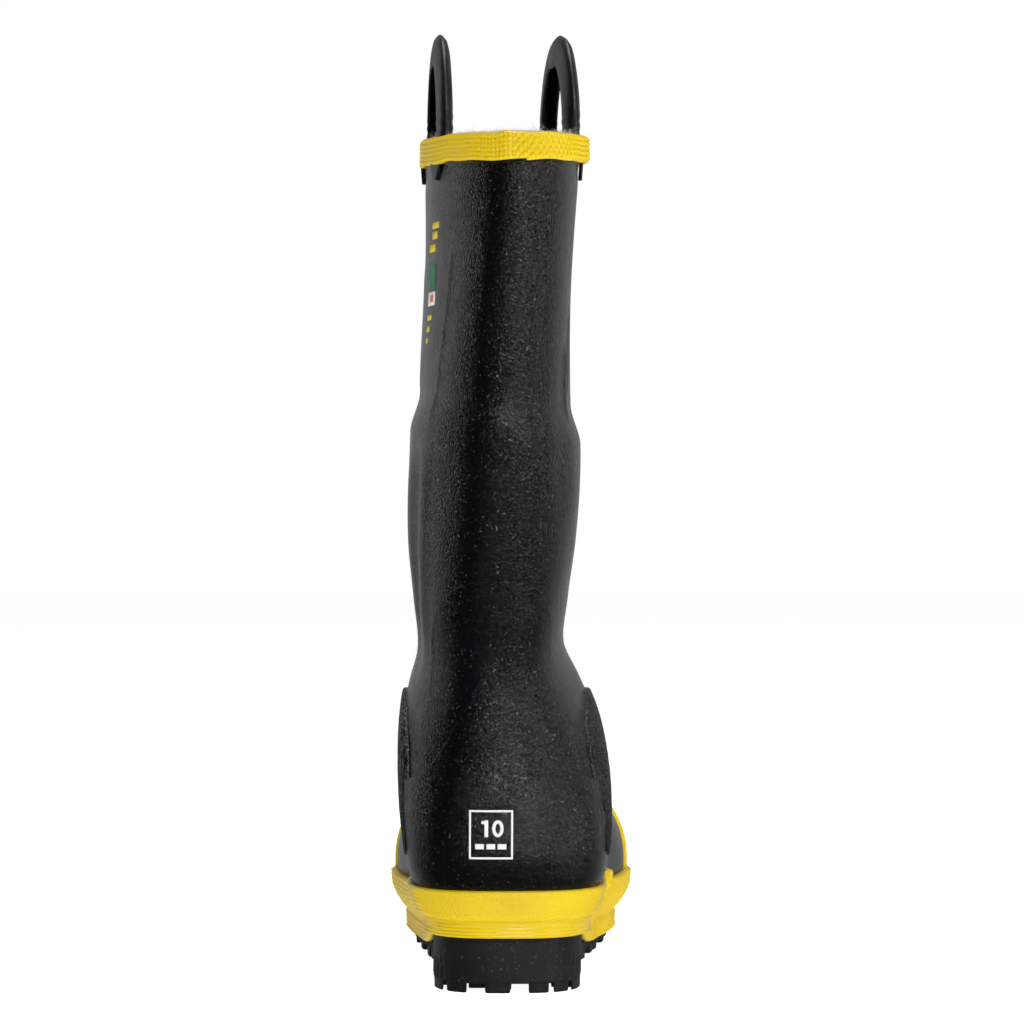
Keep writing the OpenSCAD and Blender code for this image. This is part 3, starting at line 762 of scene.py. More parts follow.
def leg_relief(a, z):
    """Folds, panel edges and slow unevenness of the leg's rubber, outwards in mm. Angles
    run from -180 to 180, with the outer side below 0."""
    a = (a + 180) % 360 - 180
    shaft = ease((z - 120) / 60)
    panel = -55 - 6 * (349 - z) / 75
    seam = 0.55 * bump(a, panel, 2.0) * ease((355 - z) / 8) * ease((z - 268) / 10)
    front_of_seam = 0.35 * ease((panel - a) / 1.5) * ease((a + 150) / 20) \
        * ease((352 - z) / 10) * ease((z - 285) / 10)
    crease = 0.7 * bump(a, 55 + 0.06 * (300 - z), 2.4) * ease((312 - z) / 12) * ease((z - 268) / 10)
    crease += 0.5 * bump(a, 62, 2.2) * ease((330 - z) / 12) * ease((z - 282) / 10)
    folds = (1.1 * bump(a, -62, 9) - 1.3 * bump(a, -74, 8) + 0.8 * bump(a, -86, 9)) \
        * ease((268 - z) / 30) * ease((z - 128) / 60)
    folds += 0.35 * bump(a, -48, 3) * ease((185 - z) / 20) * ease((z - 128) / 20)
    folds -= 0.9 * bump(a, 40, 16) * bump(z, 250, 40) + 0.7 * bump(a, 20, 14) * bump(z, 205, 45)
    slow = ripple((0.45, np.radians(a) * 3 + z / 33), (0.35, np.radians(a) * 5 - z / 21 + 1),
                  (0.25, np.radians(a) * 2 + z / 14 + 2))
    tilt = foam_at(z + 3.5 * np.sin(np.radians(a))) - foam_at(z)
    top_press = -0.5 * ease((z - 385) / 8)
    return shaft * (seam + front_of_seam + crease + folds + 0.6 * slow) + tilt + top_press


def foot_relief(u, a):
    """Creases over the instep and slow unevenness of the vamp, outwards in mm."""
    a = np.abs((a + 180) % 360 - 180)
    instep = ease((a - 110) / 30)
    flex = -0.9 * (bump(u, 14.1, 0.35) + 0.7 * bump(u, 14.9, 0.3)) * instep
    slow = ripple((0.25, u * 2.1 + np.radians(a) * 3), (0.2, u * 3.3 - np.radians(a) * 4))
    return flex + slow * ease((a - 40) / 20)


def build_shells():
    """The leg with the heel quarter, and the vamp that laps over it."""
    t = size("rubber")
    a = np.linspace(0, 360, COLS, endpoint=False)[None, :]
    u = np.linspace(0, SEAM_RING + 0.12, LEG_ROWS)[:, None]
    flat = ring_point(u, a, t)
    lip = rounded(rise_length(flat), 1.2) * 1.2 - 1.2
    outer = ring_point(u, a, t + leg_relief(np.broadcast_to(a, flat.shape[:2]), flat[..., 2]) + lip)
    outer[..., 2] -= RIM_DROP * (u < 0.05)
    inner = ring_point(u[::12], a, 0.0)
    leg = mesh_object("leg_rubber", *skin(outer, inner, True), shell_rubber(),
                      slot="black_rubber", sharp=55)
    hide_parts("leg_shell")

    u = np.linspace(SEAM_RING, LAST_RING - 0.02, FOOT_ROWS)[:, None]
    flat = ring_point(u, a, t)
    start = rise_length(flat)
    lip = 0.9 * rounded(start, 0.9) * (1 - ease((start - 8) / 12)) - 0.15
    outer = ring_point(u, a, t + foot_relief(u, a) * ease(start / 15) + lip)
    inner = ring_point(u[::10], a, 0.0)
    vamp = mesh_object("vamp_rubber", *skin(outer, inner, True), shell_rubber(),
                       slot="black_rubber", sharp=55)
    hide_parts("vamp_shell")


# ------------------------------------------------------------------ overlays

def counter_top(a):
    """Height of the arch of the lower overlay."""
    return 98 + 53 / (1 + np.abs(a / 26) ** 3)


def overlay(name, node, a, z_low, z_high, rows, thick, edge, relief=None):
    """A conformal patch on the leg between two heights, with rounded edges."""
    u, aa, z = patch_grid(a, z_low, z_high, spaced(rows))
    base = size("rubber")
    flat = ring_point(u, aa, base)
    under = leg_relief(aa, z) * ease((z - 120) / 20)
    h = thick * rounded(edge_distance(flat), edge)
    if relief is not None:
        h = h + relief(aa, z) * rounded(edge_distance(flat), edge * 3)
    outer = ring_point(u, aa, base + under + h)
    inner = ring_point(u, aa, base + under - 0.5)
    obj = mesh_object(name, *skin(outer, inner, False), overlay_rubber(),
                      slot="overlay_rubber")
    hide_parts(node)


def build_heel_overlays():
    """Two arches behind the ankle: the lower laps over the upper."""
    thick = size("overlay")
    a = 50 * (2 * spaced(150) - 1)
    top = 154 + 42 * np.clip(1 - np.abs(a / 50) ** 2.6, 0, 1) ** (1 / 2.6)
    overlay("ankle_overlay", "heel_stay", a, counter_top(a) - 6, top, 130, thick * 0.9, 0.9)
    a = 72 * (2 * spaced(190) - 1)
    overlay("heel_overlay", "heel_counter", a, np.full(a.shape, 46.0), counter_top(a), 170,
            thick * 1.15, 1.2)


PAD_STEPS = 120
PAD_RIB = 1.1


def build_ankle_pads():
    """Ribbed pads: upright ribs, seen edge on from behind."""
    t = size("rubber")
    for side, node in ((1, "ankle_pad_medial"), (-1, "ankle_pad_lateral")):
        up, over = spaced(PAD_STEPS), np.linspace(-1, 1, PAD_STEPS + 1)
        span = np.maximum(np.clip(1 - np.abs(2 * up - 1) ** 3, 0, 1) ** (1 / 3), 0.3)
        u = np.broadcast_to((8.1 + 2.9 * up)[:, None], (PAD_STEPS + 1, PAD_STEPS + 1))
        a = side * 88 + side * 24 * span[:, None] * over[None, :]
        flat = ring_point(u, a, t)
        across = run_length(flat)
        middle = across[:, PAD_STEPS // 2:PAD_STEPS // 2 + 1]
        ribs = PAD_RIB * wave((across - middle) / 5.2) ** 0.8
        h = (size("ankle_pad") - PAD_RIB + ribs) * rounded(edge_distance(flat), 2.4)
        under = leg_relief(a, flat[..., 2]) * ease((flat[..., 2] - 120) / 20)
        outer, inner = ring_point(u, a, t + under + h), ring_point(u, a, t + under - 0.5)
        obj = mesh_object(node + "_ribs", *skin(outer, inner, False), overlay_rubber(),
                          slot="overlay_rubber")
        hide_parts(node)


def build_shin_guard():
    """Guard on the front of the leg, ribbed across."""
    a = 180 + 38 * (2 * spaced(150) - 1)
    corner = 16 * ((a - 180) / 38) ** 4

    def ribs(aa, z):
        inside = ease((34 - np.abs(aa - 180)) / 4) * ease((337 - z) / 5) * ease((z - 233) / 5)
        return inside * (0.9 * wave(z / 9) ** 0.7 - 0.4)

    overlay("shin_ribs", "shin_guard", a, 225 + corner, 345 - corner, 240, 2.6, 2.4, ribs)


# ------------------------------------------------------------------ yellow bands

def build_binding():
    """Band around the rim: fine pyramids, larger ones past the seam, and a lapped seam."""
    t, thick, tall = size("rubber"), size("binding"), size("binding_height") - 1
    cols = 1300
    a = np.linspace(0, 360, cols, endpoint=False)
    turn = (a + 180) % 360 - 180
    rim = rim_at(ring_point(0.0, a, t)[:, 1])
    ring = ring_point(0.2, a, t)
    x = run_length(ring[None])[0]
    x = x - x[np.argmin(np.abs(turn - RIM_SEAM))]
    past = ((turn > RIM_SEAM) & (turn < COARSE_END)).astype(float)
    lap = bump(turn, 2 * RIM_SEAM, 8) * (turn <= RIM_SEAM)
    straps = sum(bump(turn, strap_angle(side, leg), 9) for side in (1, -1) for leg in (1, -1))
    edge = ripple((0.35, x / 9.0), (0.25, x / 4.1 + 1), (0.4, x / 27 + 2))
    rows_out, rows_top, rows_in = 44, 9, 6
    up = spaced(rows_out, 0.35)
    outer = []
    for k in up:
        z = rim - tall * (1 - k) + edge * (1 - 0.4 * k) + 0.9 * lap * k
        body = thick * rounded((min(k, 1 - k) + 0.02) * tall, 1.4)
        y = k * tall
        fine = 0.85 * pyramids(x, y, size("knurl"))
        large = 1.5 * staggered(x, y, 3.6, 4.6)
        fade = ease(min(k, 1 - k) * tall / 1.2)
        out = t + body + (fine * (1 - past) + large * past) * fade + 0.9 * lap + 1.1 * straps \
            + 0.25 * edge + 0.2 * (1 - k)
        p = ring_point(0.0, a, out)
        p[:, 2] = z
        outer.append(p)
    for k in np.linspace(0, 1, rows_top + 1)[1:]:
        w = math.radians(90 * k)
        p = ring_point(0.0, a, t + (thick * 0.35 + 0.9 * lap + 1.1 * straps) * math.cos(w)
                       - 1.9 * k)
        p[:, 2] = rim + edge * 0.6 + 0.9 * lap + 0.5 * math.sin(w)
        outer.append(p)
    for k in np.linspace(0, 1, rows_in + 1)[1:]:
        p = ring_point(0.0, a, t - 1.9 - 0.3 * k)
        p[:, 2] = rim + edge * 0.6 + 0.5 - 3 * k
        outer.append(p)
    inner = [ring_point(0.0, a, t - 1.9), ring_point(0.0, a, t - 1.2)]
    inner[0][:, 2], inner[1][:, 2] = rim - 4.5, rim - tall + 0.4 + edge
    obj = mesh_object("rim_band", *skin(np.array(outer), np.array(inner)[::-1], True),
                      yellow_rubber(), slot="yellow_rubber")
    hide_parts("top_binding")


def band(name, node, start, stop, cols, rows, pattern, lift=0.0):
    """A piece of the yellow band around the sole. Its pattern is a function of the place
    along it, the height above its foot and the share of the way up."""
    s = np.linspace(start, stop, cols)
    k = spaced(rows, 0.3)[:, None]
    y = line_raw(s)[:, 1]
    low, high = sole_top(y) + 0.3, band_top(y) + lift * bump(s, INNER_JOINT + 0.02, 0.07)
    bend = np.sqrt(np.clip((k - UPRIGHT) / (1 - UPRIGHT), 0, 1))
    tuck = LEAN * (1 - bend * ease(bend / 0.3 + 0.4))
    base = line_point(s, 0)
    x = np.concatenate([[0], np.cumsum(np.linalg.norm(np.diff(base, axis=0), axis=1))])
    tall = (high - low)[None, :]
    from_foot, from_top = k * tall, (1 - k) * tall
    ends = np.minimum(x, x[-1] - x)[None, :]
    thick = size("foxing") * (1 - 0.3 * k)
    h, wobble = pattern(x[None, :], from_foot, k, s[None, :])
    rim = np.minimum(np.minimum(rounded(from_foot + 0.3, 1.5), rounded(from_top + 0.2, 1.6)),
                     rounded(ends + 0.15, 1.5))
    fade = ease(np.minimum(from_foot, from_top) / 1.2)
    out = BAND_ROOM + thick * rim + h * fade + wobble - tuck
    outer = np.concatenate([np.array([line_point(s, o) for o in out]),
                            (low + tall * k)[..., None]], -1)
    deep = np.broadcast_to(BAND_ROOM - 2.4 * ease((k - 0.86) / 0.14) - tuck, out.shape)
    inner = np.concatenate([np.array([line_point(s, o) for o in deep]),
                            (low + tall * k)[..., None]], -1)
    outer, inner = outer[::-1], inner[::-1]
    obj = mesh_object(name, *skin(outer, inner, False), yellow_rubber(), slot="yellow_rubber")
    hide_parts(node)


def build_foxing():
    """The band around the heel, and the one around the forefoot that laps over its ends."""
    pitch = size("knurl") * 0.86

    def heel(x, y, k, s):
        centre = 1 - ease((np.abs(s) - 0.085) / 0.03)
        fine = 0.75 * staggered(x, y, pitch, pitch * 1.25) * ease((k - UPRIGHT) / 0.06)
        ribs = 0.6 * wave(y / 2.0)
        foot = 0.45 * wave(y / 1.7) * (1 - ease((k - UPRIGHT) / 0.06))
        wobble = ripple((0.25, x / 11 + 3 * k), (0.2, x / 5.3 - 5 * k)) * ease(k / 0.2)
        roll = 0.9 * bump(k, 0.40, 0.16)
        return fine * centre + ribs * (1 - centre) + foot, wobble * 0.7 + roll * 0.6

    def fore(x, y, k, s):
        toe = bump(s, 0.5, 0.16)
        slant = 1.5 * wave((x + y) / 4.6) * bump(s, INNER_JOINT, 0.26)
        ribs = 0.65 * wave(y / 2.4) * (1 - bump(s, INNER_JOINT, 0.26))
        knurl = 0.7 * staggered(x, y, pitch * 1.3, pitch * 1.6) * toe
        swell = 3.2 * bump(s, INNER_JOINT + 0.01, 0.07) * ease(k / 0.3)
        wobble = ripple((0.35, x / 14 + 2 * k), (0.25, x / 6.1 - 4 * k)) * ease(k / 0.2)
        roll = 1.4 * bump(k, 0.72, 0.25) - 0.8 * bump(k, 0.42, 0.14) + 0.7 * bump(k, 0.26, 0.15)
        return slant + ribs * (1 - toe) + knurl, wobble + swell + roll * 0.7

    band("heel_band", "heel_foxing", OUTER_JOINT - 1, INNER_JOINT - 0.001, 640, 70, heel)
    band("forefoot_band", "forefoot_foxing", INNER_JOINT - 0.012, OUTER_JOINT + 0.004, 880, 54,
         fore, 4.5)


def build_toe_guard():
    """Bumper over the toe: ribs at its rear edge, and fine pyramids in front of them."""
    t, rear = size("rubber"), 16.5
    u = rear + (LAST_RING - 0.03 - rear) * spaced(170, 0.5)[:, None]
    a = (180 + 97 * (2 * spaced(220, 0.4) - 1))[None, :]
    flat = ring_point(u, a, t)
    back = rise_length(flat)
    ribs = 0.5 * wave(back / 5.5) * ease((back - 4) / 3) * (1 - ease((back - 34) / 6))
    knurl = 0.35 * staggered(run_length(flat), back, 3.0, 3.6) * ease((back - 36) / 6)
    h = 2.3 * rounded(back + 0.1, 2.2) + ribs + knurl
    outer, inner = ring_point(u, a, t + h), ring_point(u, a, t - 0.5)
    obj = mesh_object("toe_bumper", *skin(outer, inner, False), yellow_rubber(),
                      slot="yellow_rubber")
    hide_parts("toe_guard")


# ------------------------------------------------------------------ pull straps

# Height over the rim of a strap's lower end and of the foot of its arch
STRAP_END, ARCH_FOOT = -21, 13


def strap_angle(side, leg):
    """Angle round the rim of a strap's front (1) or rear (-1) leg, on either side."""
    return side * (96 + leg * 24)


def strap_path(side):
    """Middle line of a strap from the end of its rear tab, over the crown, to the end of its
    front tab. Gives places across its plane and heights over the rim."""
    half, crown = size("strap_spread") / 2, size("strap_rise") - size("strap_width") / 2 - 0.4
    turn = np.linspace(-1, 1, 90)
    arch_y = half * np.sign(turn) * np.abs(turn) ** 0.72
    arch_z = ARCH_FOOT + (crown - ARCH_FOOT) * (1 - np.abs(turn) ** 1.9) ** 0.85
    leg_z = np.linspace(STRAP_END, ARCH_FOOT, 42)[:-1]
    across = np.concatenate([np.full(len(leg_z), -half), arch_y, np.full(len(leg_z), half)])
    up = np.concatenate([leg_z, arch_z, leg_z[::-1]])
    path = np.stack([across, up], -1)
    for _ in range(8):
        path[1:-1] = path[1:-1] * 0.5 + (path[:-2] + path[2:]) * 0.25
    return path


# Section of a strap, folded into a V: places from its inner edges (-1) to its ridge (1), places
# across it, and 1 for the inner faces, which close up where the strap lies against the leg.
V_SECTION = [(-1.0, 1.0, 0), (-0.4, 0.97, 0), (0.2, 0.86, 0), (0.68, 0.64, 0), (0.94, 0.28, 0),
             (1.03, 0.0, 0), (0.94, -0.28, 0), (0.68, -0.64, 0), (0.2, -0.86, 0),
             (-0.4, -0.97, 0), (-1.0, -1.0, 0), (-1.06, -0.85, 0), (-1.0, -0.68, 1),
             (-0.4, -0.62, 1), (0.15, -0.48, 1), (0.55, -0.16, 1), (0.62, 0.0, 1), (0.55, 0.16, 1),
             (0.15, 0.48, 1), (-0.4, 0.62, 1), (-1.0, 0.68, 1), (-1.06, 0.85, 0)]


def build_strap(side, body):
    """One strap. Its free part follows its own upright plane, and its ends the leg's wall."""
    t = size("rubber")
    up = np.array([0, 0, 1.0])
    front, rear = (ring_point(0.0, strap_angle(side, leg), t / 2) for leg in (1, -1))
    centre = (front + rear) / 2
    ahead = (front - rear) * (1, 1, 0)
    ahead = ahead / np.linalg.norm(ahead)
    outward = np.array([ahead[1], -ahead[0], 0]) * side
    path = strap_path(side)
    d = np.gradient(path, axis=0)
    d /= np.linalg.norm(d, axis=1, keepdims=True)
    loops = []
    for (y, z), (dy, dz) in zip(path, d):
        free = float(ease((z + 13) / 11))
        leg = 1 if y > 0 else -1
        a = strap_angle(side, leg)
        height = rim_at(centre[1] + ahead[1] * y) + z
        middle = centre * (1, 1, 0) + ahead * y - outward * 2.4
        level = rim_at(centre[1])
        middle[2] = level + z + (height - level - z) * float(ease(1 - z / 20))
        u = float(ring_at(np.array(min(height, rim_at(front[1]) - 0.1)), a))
        wall = ring_point(u, a, t + 1.35)
        tangent = (ring_point(u, a + 1, t) - ring_point(u, a - 1, t)) * (1, 1, 0)
        tangent *= np.sign(tangent @ ahead) / np.linalg.norm(tangent)
        local = np.array([tangent[1], -tangent[0], 0]) * side
        middle[:2] = middle[:2] * free + wall[:2] * (1 - free)
        n_way = ahead * -dz + up * dy
        if n_way @ (ahead * y + up * 6 * (abs(y) < 12)) < 0:
            n_way = -n_way
        n_way = n_way * free + tangent * leg * (1 - free)
        n_way /= np.linalg.norm(n_way)
        b_way = outward * free + local * (1 - free)
        b_way /= np.linalg.norm(b_way)
        width = size("strap_width") / 2 * (1 - 0.7 * float(ease((-z - 13) / 9)))
        width *= 1 + 0.12 * float(bump(y, 0, 8)) - 0.1 * float(bump(z, 2, 9))
        spread = 1.0 + (3.0 + 0.4 * float(bump(y, 0, 12))) * free
        crease = 0.22 * math.sin(z * 1.3 + side) * float(bump(z, 2, 15))
        loops.append([middle + n_way * n * width
                      + b_way * (b * spread * (free if inside else 1) + crease)
                      for n, b, inside in V_SECTION])
    points, faces = tube(np.array(loops))
    obj = mesh_object("pull_" + body, points, faces, strap_rubber(), body=None,
                      slot="strap_rubber", sharp=60)
    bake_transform(obj)
    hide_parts(body.replace("strap_", "strap_loop_"), body.replace("strap_", "strap_ends_"))


def build_straps():
    """Each strap is one strip, folded lengthwise into a V that opens inwards, with a
    pinched crown. Its ends lie flat against the leg."""
    for side, body in ((1, "strap_medial"), (-1, "strap_lateral")):
        build_strap(side, body)


# ------------------------------------------------------------------ lining and footbed

def fleece_depth(u):
    """How far the fleece's outer side lies inside ring u's wall."""
    return foam_at(middle_height(u)) + 0.6 + 2 * ease((u - 15.2) / 0.8)


def tufts(a, s):
    """Lumps of the fleece, in mm."""
    return ripple((0.25, a * 0.31 + s * 1.9), (0.22, a * 0.47 - s * 2.7 + 1),
                  (0.18, a * 0.83 + s * 4.1 + 2))


def build_linings():
    """The fleece of the leg and of the foot."""
    a = np.linspace(0, 360, 200, endpoint=False)[None, :]
    thick = size("lining")
    u = np.linspace(0.0, SEAM_RING + 0.05, 190)[:, None]
    deep = fleece_depth(u)
    top = bump(u, 0, 0.09)
    inside = ring_point(u, a, -deep - thick + 0.35 * tufts(a, u * 12) + 1.3 * top * (u > 0))
    inside[..., 2] += 1.4 * top * bump(u, 0, 0.06) + 0.5 * tufts(a * 1.7, u) * top
    outside = ring_point(u[::10], a, -deep[::10])
    leg = mesh_object("leg_fleece", *skin(inside, outside, True), fleece_material(),
                      slot="fleece")
    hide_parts("leg_lining")
    u = np.linspace(SEAM_RING, 21.3, 120)[:, None]
    deep = fleece_depth(u)
    inside = ring_point(u, a, -deep - thick + 0.35 * tufts(a, u * 12))
    outside = ring_point(u[::7], a, -deep[::7])
    foot = mesh_object("foot_fleece", *skin(inside, outside, True), fleece_material(),
                       slot="fleece")
    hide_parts("foot_lining")


# Corners of a fibre's section, in radians
FIBRE_CORNERS = (0, 2.09, 4.19)


def build_fibres():
    """Loose fibres that stand over the rim."""
    rng = np.random.default_rng(SEED)
    count = bpy.context.scene.fire_boot_sizes.fibres
    parts = []
    for _ in range(count):
        a = rng.uniform(0, 360)
        tuft = 0.5 + 0.5 * math.sin(a * 0.21) * math.sin(a * 0.043 + 1)
        root = ring_point(0.02, a, rng.uniform(-3.6, -0.6))
        root[2] = rim_at(root[1]) + rng.uniform(-1.0, 0.6)
        way = np.array([rng.normal(0, 0.8), rng.normal(0, 0.8), 1.0])
        bend = np.array([rng.normal(0, 1.0), rng.normal(0, 1.0), rng.normal(-0.6, 0.6)])
        long = rng.uniform(1.4, 3.4) * (0.6 + 0.8 * tuft)
        thick = rng.uniform(0.05, 0.10)
        loops = []
        for t in np.linspace(0, 1, 6):
            p = root + way * long * t + bend * long * 0.6 * t * t
            r = thick * (1 - 0.5 * t)
            loops.append([p + r * np.array([math.cos(w), math.sin(w), 0])
                          for w in FIBRE_CORNERS])
        parts.append(tube(np.array(loops)))
    mesh_object("rim_fibres", *add_parts(parts), fleece_material(), slot="fleece")


def build_footbed():
    """Loose cushioned sole inside the boot, with a knitted cover."""
    low, high = 11.1, 20.0
    u = (low + (high - low) * spaced(130, 0.5))[:, None]
    a = (44 * (2 * spaced(80, 0.5) - 1))[None, :]
    base = -fleece_depth(u) - size("lining") - 0.6
    flat = ring_point(u, a, base)
    edge = rounded(edge_distance(flat) + 0.1, 2.6)
    x, y = run_length(flat), rise_length(flat)
    knit = 0.18 * pyramids(x - x[:, 40:41], y, 3.2)
    top = ring_point(u, a, base - 0.4 - (4.2 + knit) * edge)
    under = ring_point(u, a, base - 0.35 * (1 - edge))
    obj = mesh_object("footbed_knit", *skin(top, under, False),
                      cloth_material("Footbed knit", tint("footbed"), 600.0, 0.6),
                      body="footbed", slot="footbed_fabric")
    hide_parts("footbed")


# ------------------------------------------------------------------ sole

def clip(polygon, inside, cut):
    """One step of clipping a polygon: inside says if a point stays, cut where an edge
    leaves."""
    kept = []
    for i, p in enumerate(polygon):
        q = polygon[(i + 1) % len(polygon)]
        if inside(p):
            kept.append(p)
        if inside(p) != inside(q):
            kept.append(cut(p, q))
    return kept


def clipped_bar(x0, x1, y0, y1, outline):
    """A bar's plan, cut by a convex outline that runs anticlockwise."""
    shape = [np.array(p, float) for p in ((x0, y0), (x1, y0), (x1, y1), (x0, y1))]
    for i in range(len(outline)):
        a, b = outline[i], outline[(i + 1) % len(outline)]
        edge = b - a

        def side(p):
            return edge[0] * (p[1] - a[1]) - edge[1] * (p[0] - a[0])

        if not shape:
            return None
        shape = clip(shape, lambda p: side(p) >= 0,
                     lambda p, q: p + (q - p) * side(p) / (side(p) - side(q)))
    return np.array(shape) if len(shape) > 2 else None


def resampled(plan, count, radius):
    """count points around a plan whose corners are rounded, pulled in from the outline."""
    rounded_plan = []
    n = len(plan)
    for i in range(n):
        before, here, after = plan[i - 1], plan[i], plan[(i + 1) % n]
        for other, share in ((before, 1), (after, 0)):
            d = other - here
            long = max(np.linalg.norm(d), 1e-6)
            rounded_plan.append(here + d * min(radius / long, 0.45))
    pts = np.array(rounded_plan)
    step = np.linalg.norm(np.roll(pts, -1, 0) - pts, axis=1)
    total = np.concatenate([[0], np.cumsum(step)])
    at = np.linspace(0, total[-1], count, endpoint=False)
    closed = np.concatenate([pts, pts[:1]])
    return np.stack([np.interp(at, total, closed[:, k]) for k in (0, 1)], -1)


def lug(plan, low, high, count=32):
    """A tread block with a worn lower edge."""
    ring = resampled(plan, count, 0.8)
    middle = ring.mean(0)
    loops = []
    for z, pull in ((high, -0.02), (low + 1.2, 0.0), (low + 0.4, 0.02), (low + 0.1, 0.05),
                    (low, 0.11)):
        xy = ring + (middle - ring) * pull
        loops.append(np.concatenate([xy, np.full((count, 1), z)], 1))
    return tube(np.array(loops))


def sole_outline(y_from, y_to, inset, count):
    """Right and left edge of the sole between two places along the foot."""
    y = y_from + (y_to - y_from) * (0.5 - 0.5 * np.cos(np.pi * np.linspace(0, 1, count)))
    return y, line_x(y, 1, -inset), line_x(y, -1, -inset)


def sole_wall(y, right, left, low, high, rows, relief):
    """Points and faces of a slab of the sole: a ribbed wall, and a flat top and bottom."""
    n = len(y)
    loop = np.concatenate([np.stack([right, y], -1), np.stack([left, y], -1)[::-1]])
    d = np.roll(loop, -1, 0) - np.roll(loop, 1, 0)
    d /= np.maximum(np.linalg.norm(d, axis=1, keepdims=True), 1e-9)
    out = np.stack([d[:, 1], -d[:, 0]], -1)
    bottom, top = low(loop[:, 1]), high(loop[:, 1])
    walls = []
    for k in rows:
        z = bottom + (top - bottom) * k
        h = relief(loop, z, k)
        walls.append(np.concatenate([loop + out * h[:, None], z[:, None]], 1))
    walls = np.array(walls)
    m = len(loop)
    faces = [grid_faces(len(rows), m, True)]
    i = np.arange(n - 1)
    for row, flip in ((0, 1), (len(rows) - 1, -1)):
        at = row * m
        cap = np.stack([at + i, at + i + 1, at + m - 2 - i, at + m - 1 - i], -1)
        faces.append(cap[:, ::flip])
    return walls.reshape(-1, 3), np.concatenate(faces)


# Lugs of the heel: middle and width across, and both ends along the foot
HEEL_LUGS = [(-33, 5.0, -40, -8), (-24, 9.5, -60, -22), (-4.5, 12, -60, -30),
             (15, 9.5, -60, -24), (25.6, 7.0, -60, -19), (33, 5.0, -40, -8),
             (-28, 14, -5, 9), (-14, 9, -18, -2), (-4, 12, -26, 6), (15, 9, -20, 1),
             (28, 14, -14, 3), (-29, 13, 13, 32), (-14, 9, 2, 17), (-4, 12, 10, 26),
             (14, 9, 5, 19), (28, 14, 7, 21), (8, 10, 23, 32), (-16, 9, 21, 32),
             (28, 14, 25, 32)]


def side_ribs(loop, z, low, high, pitch, depth):
    """Upright grooves in the lower part of a sole's side."""
    along_y = loop[:, 1]
    on_side = ease((along_y - low) / 3) * ease((high - along_y) / 3)
    return -depth * (wave(along_y / pitch) > 0.62) * on_side * (z < 12.5)


def build_heel_block():
    """Heel block with its lugs."""
    depth = size("lug_depth")
    rear = HEEL_Y + 7.75
    y, right, left = sole_outline(rear, 29.6, LEAN, 150)
    rows = [0, 0.02, 0.05, 0.12, 0.22, 0.30, 0.34, 0.36, 0.5, 0.7, 0.9, 0.97, 1.0]

    def relief(loop, z, k):
        edge = -0.8 * (1 - rounded(min(k, 1 - k) * 21 + 0.2, 1.0))
        swell = ripple((0.18, loop[:, 0] / 9 + z / 7), (0.12, loop[:, 1] / 6 - z / 5))
        flat = ease((24 - loop[:, 1]) / 8)
        return edge + swell * flat + side_ribs(loop, z, -30, 26, 4.4, 0.9)

    block = sole_wall(y, right, left, lambda v: np.full(v.shape, depth - 0.5),
                      lambda v: np.full(v.shape, size("heel_height")), rows, relief)
    cy, cr, cl = sole_outline(rear + 0.25, 29.3, LEAN + 0.25, 26)
    outline = np.concatenate([np.stack([cr, cy], -1), np.stack([cl, cy], -1)[::-1]])
    parts = [block]
    for x, wide, y0, y1 in HEEL_LUGS:
        plan = clipped_bar(x - wide / 2, x + wide / 2, y0, y1, outline)
        if plan is not None:
            parts.append(lug(plan, 0.0, depth + 0.6))
    obj = mesh_object("heel_tread", *add_parts(parts), sole_rubber(), slot="sole_rubber",
                      sharp=38)
    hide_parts("heel_block")


def sole_low(y):
    """Height of the sole's underside between its lugs."""
    return sole_top(y) - (size("sole") - size("lug_depth"))


# Lugs of the forefoot: size and pitch, across and along. Odd rows are shifted by half a pitch.
LUG_WIDE, LUG_LONG, LUG_PITCH, ROW_PITCH = 13, 12, 18, 17


def build_outsole():
    """Sole of the forefoot and waist, with lugs in front and low bars under the waist."""
    tip = tip_y()
    y, right, left = sole_outline(30.1, tip - 5.2, LEAN, 260)
    rows = [0, 0.08, 0.2, 0.5, 0.8, 0.92, 1.0]

    def relief(loop, z, k):
        return -0.5 * (1 - rounded(min(k, 1 - k) * 5 + 0.2, 0.8)) \
            + side_ribs(loop, z, 95, tip - 20, 4.4, 0.8)

    parts = [sole_wall(y, right, left, sole_low, sole_top, rows, relief)]
    cy, cr, cl = sole_outline(99, tip - 5.6, LEAN + 0.25, 40)
    outline = np.concatenate([np.stack([cr, cy], -1), np.stack([cl, cy], -1)[::-1]])
    for row in range(9):
        y0 = 101 + row * ROW_PITCH
        for col in range(-4, 5):
            shift = LUG_PITCH / 2 if row % 2 else 0
            x0 = 2 + col * LUG_PITCH + shift - LUG_WIDE / 2
            plan = clipped_bar(x0, x0 + LUG_WIDE, y0, y0 + LUG_LONG, outline)
            if plan is None or np.ptp(plan[:, 0]) < 3:
                continue
            base = float(sole_low(np.array(plan[:, 1].mean())))
            low = max(0.0, base - size("lug_depth"))
            parts.append(lug(plan, low, base + 0.8))
    for k in range(5):
        y0 = 44 + k * 11
        xr, xl = (float(line_x(np.array(y0 + 2.0), side, -LEAN - 4)) for side in (1, -1))
        plan = np.array([[xl, y0], [xr, y0], [xr, y0 + 4], [xl, y0 + 4]])
        base = float(sole_low(np.array(y0 + 2.0)))
        parts.append(lug(plan, base - 2.0, base + 0.6))
    obj = mesh_object("forefoot_tread", *add_parts(parts), sole_rubber(), slot="sole_rubber",
                      sharp=38)
    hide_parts("outsole")


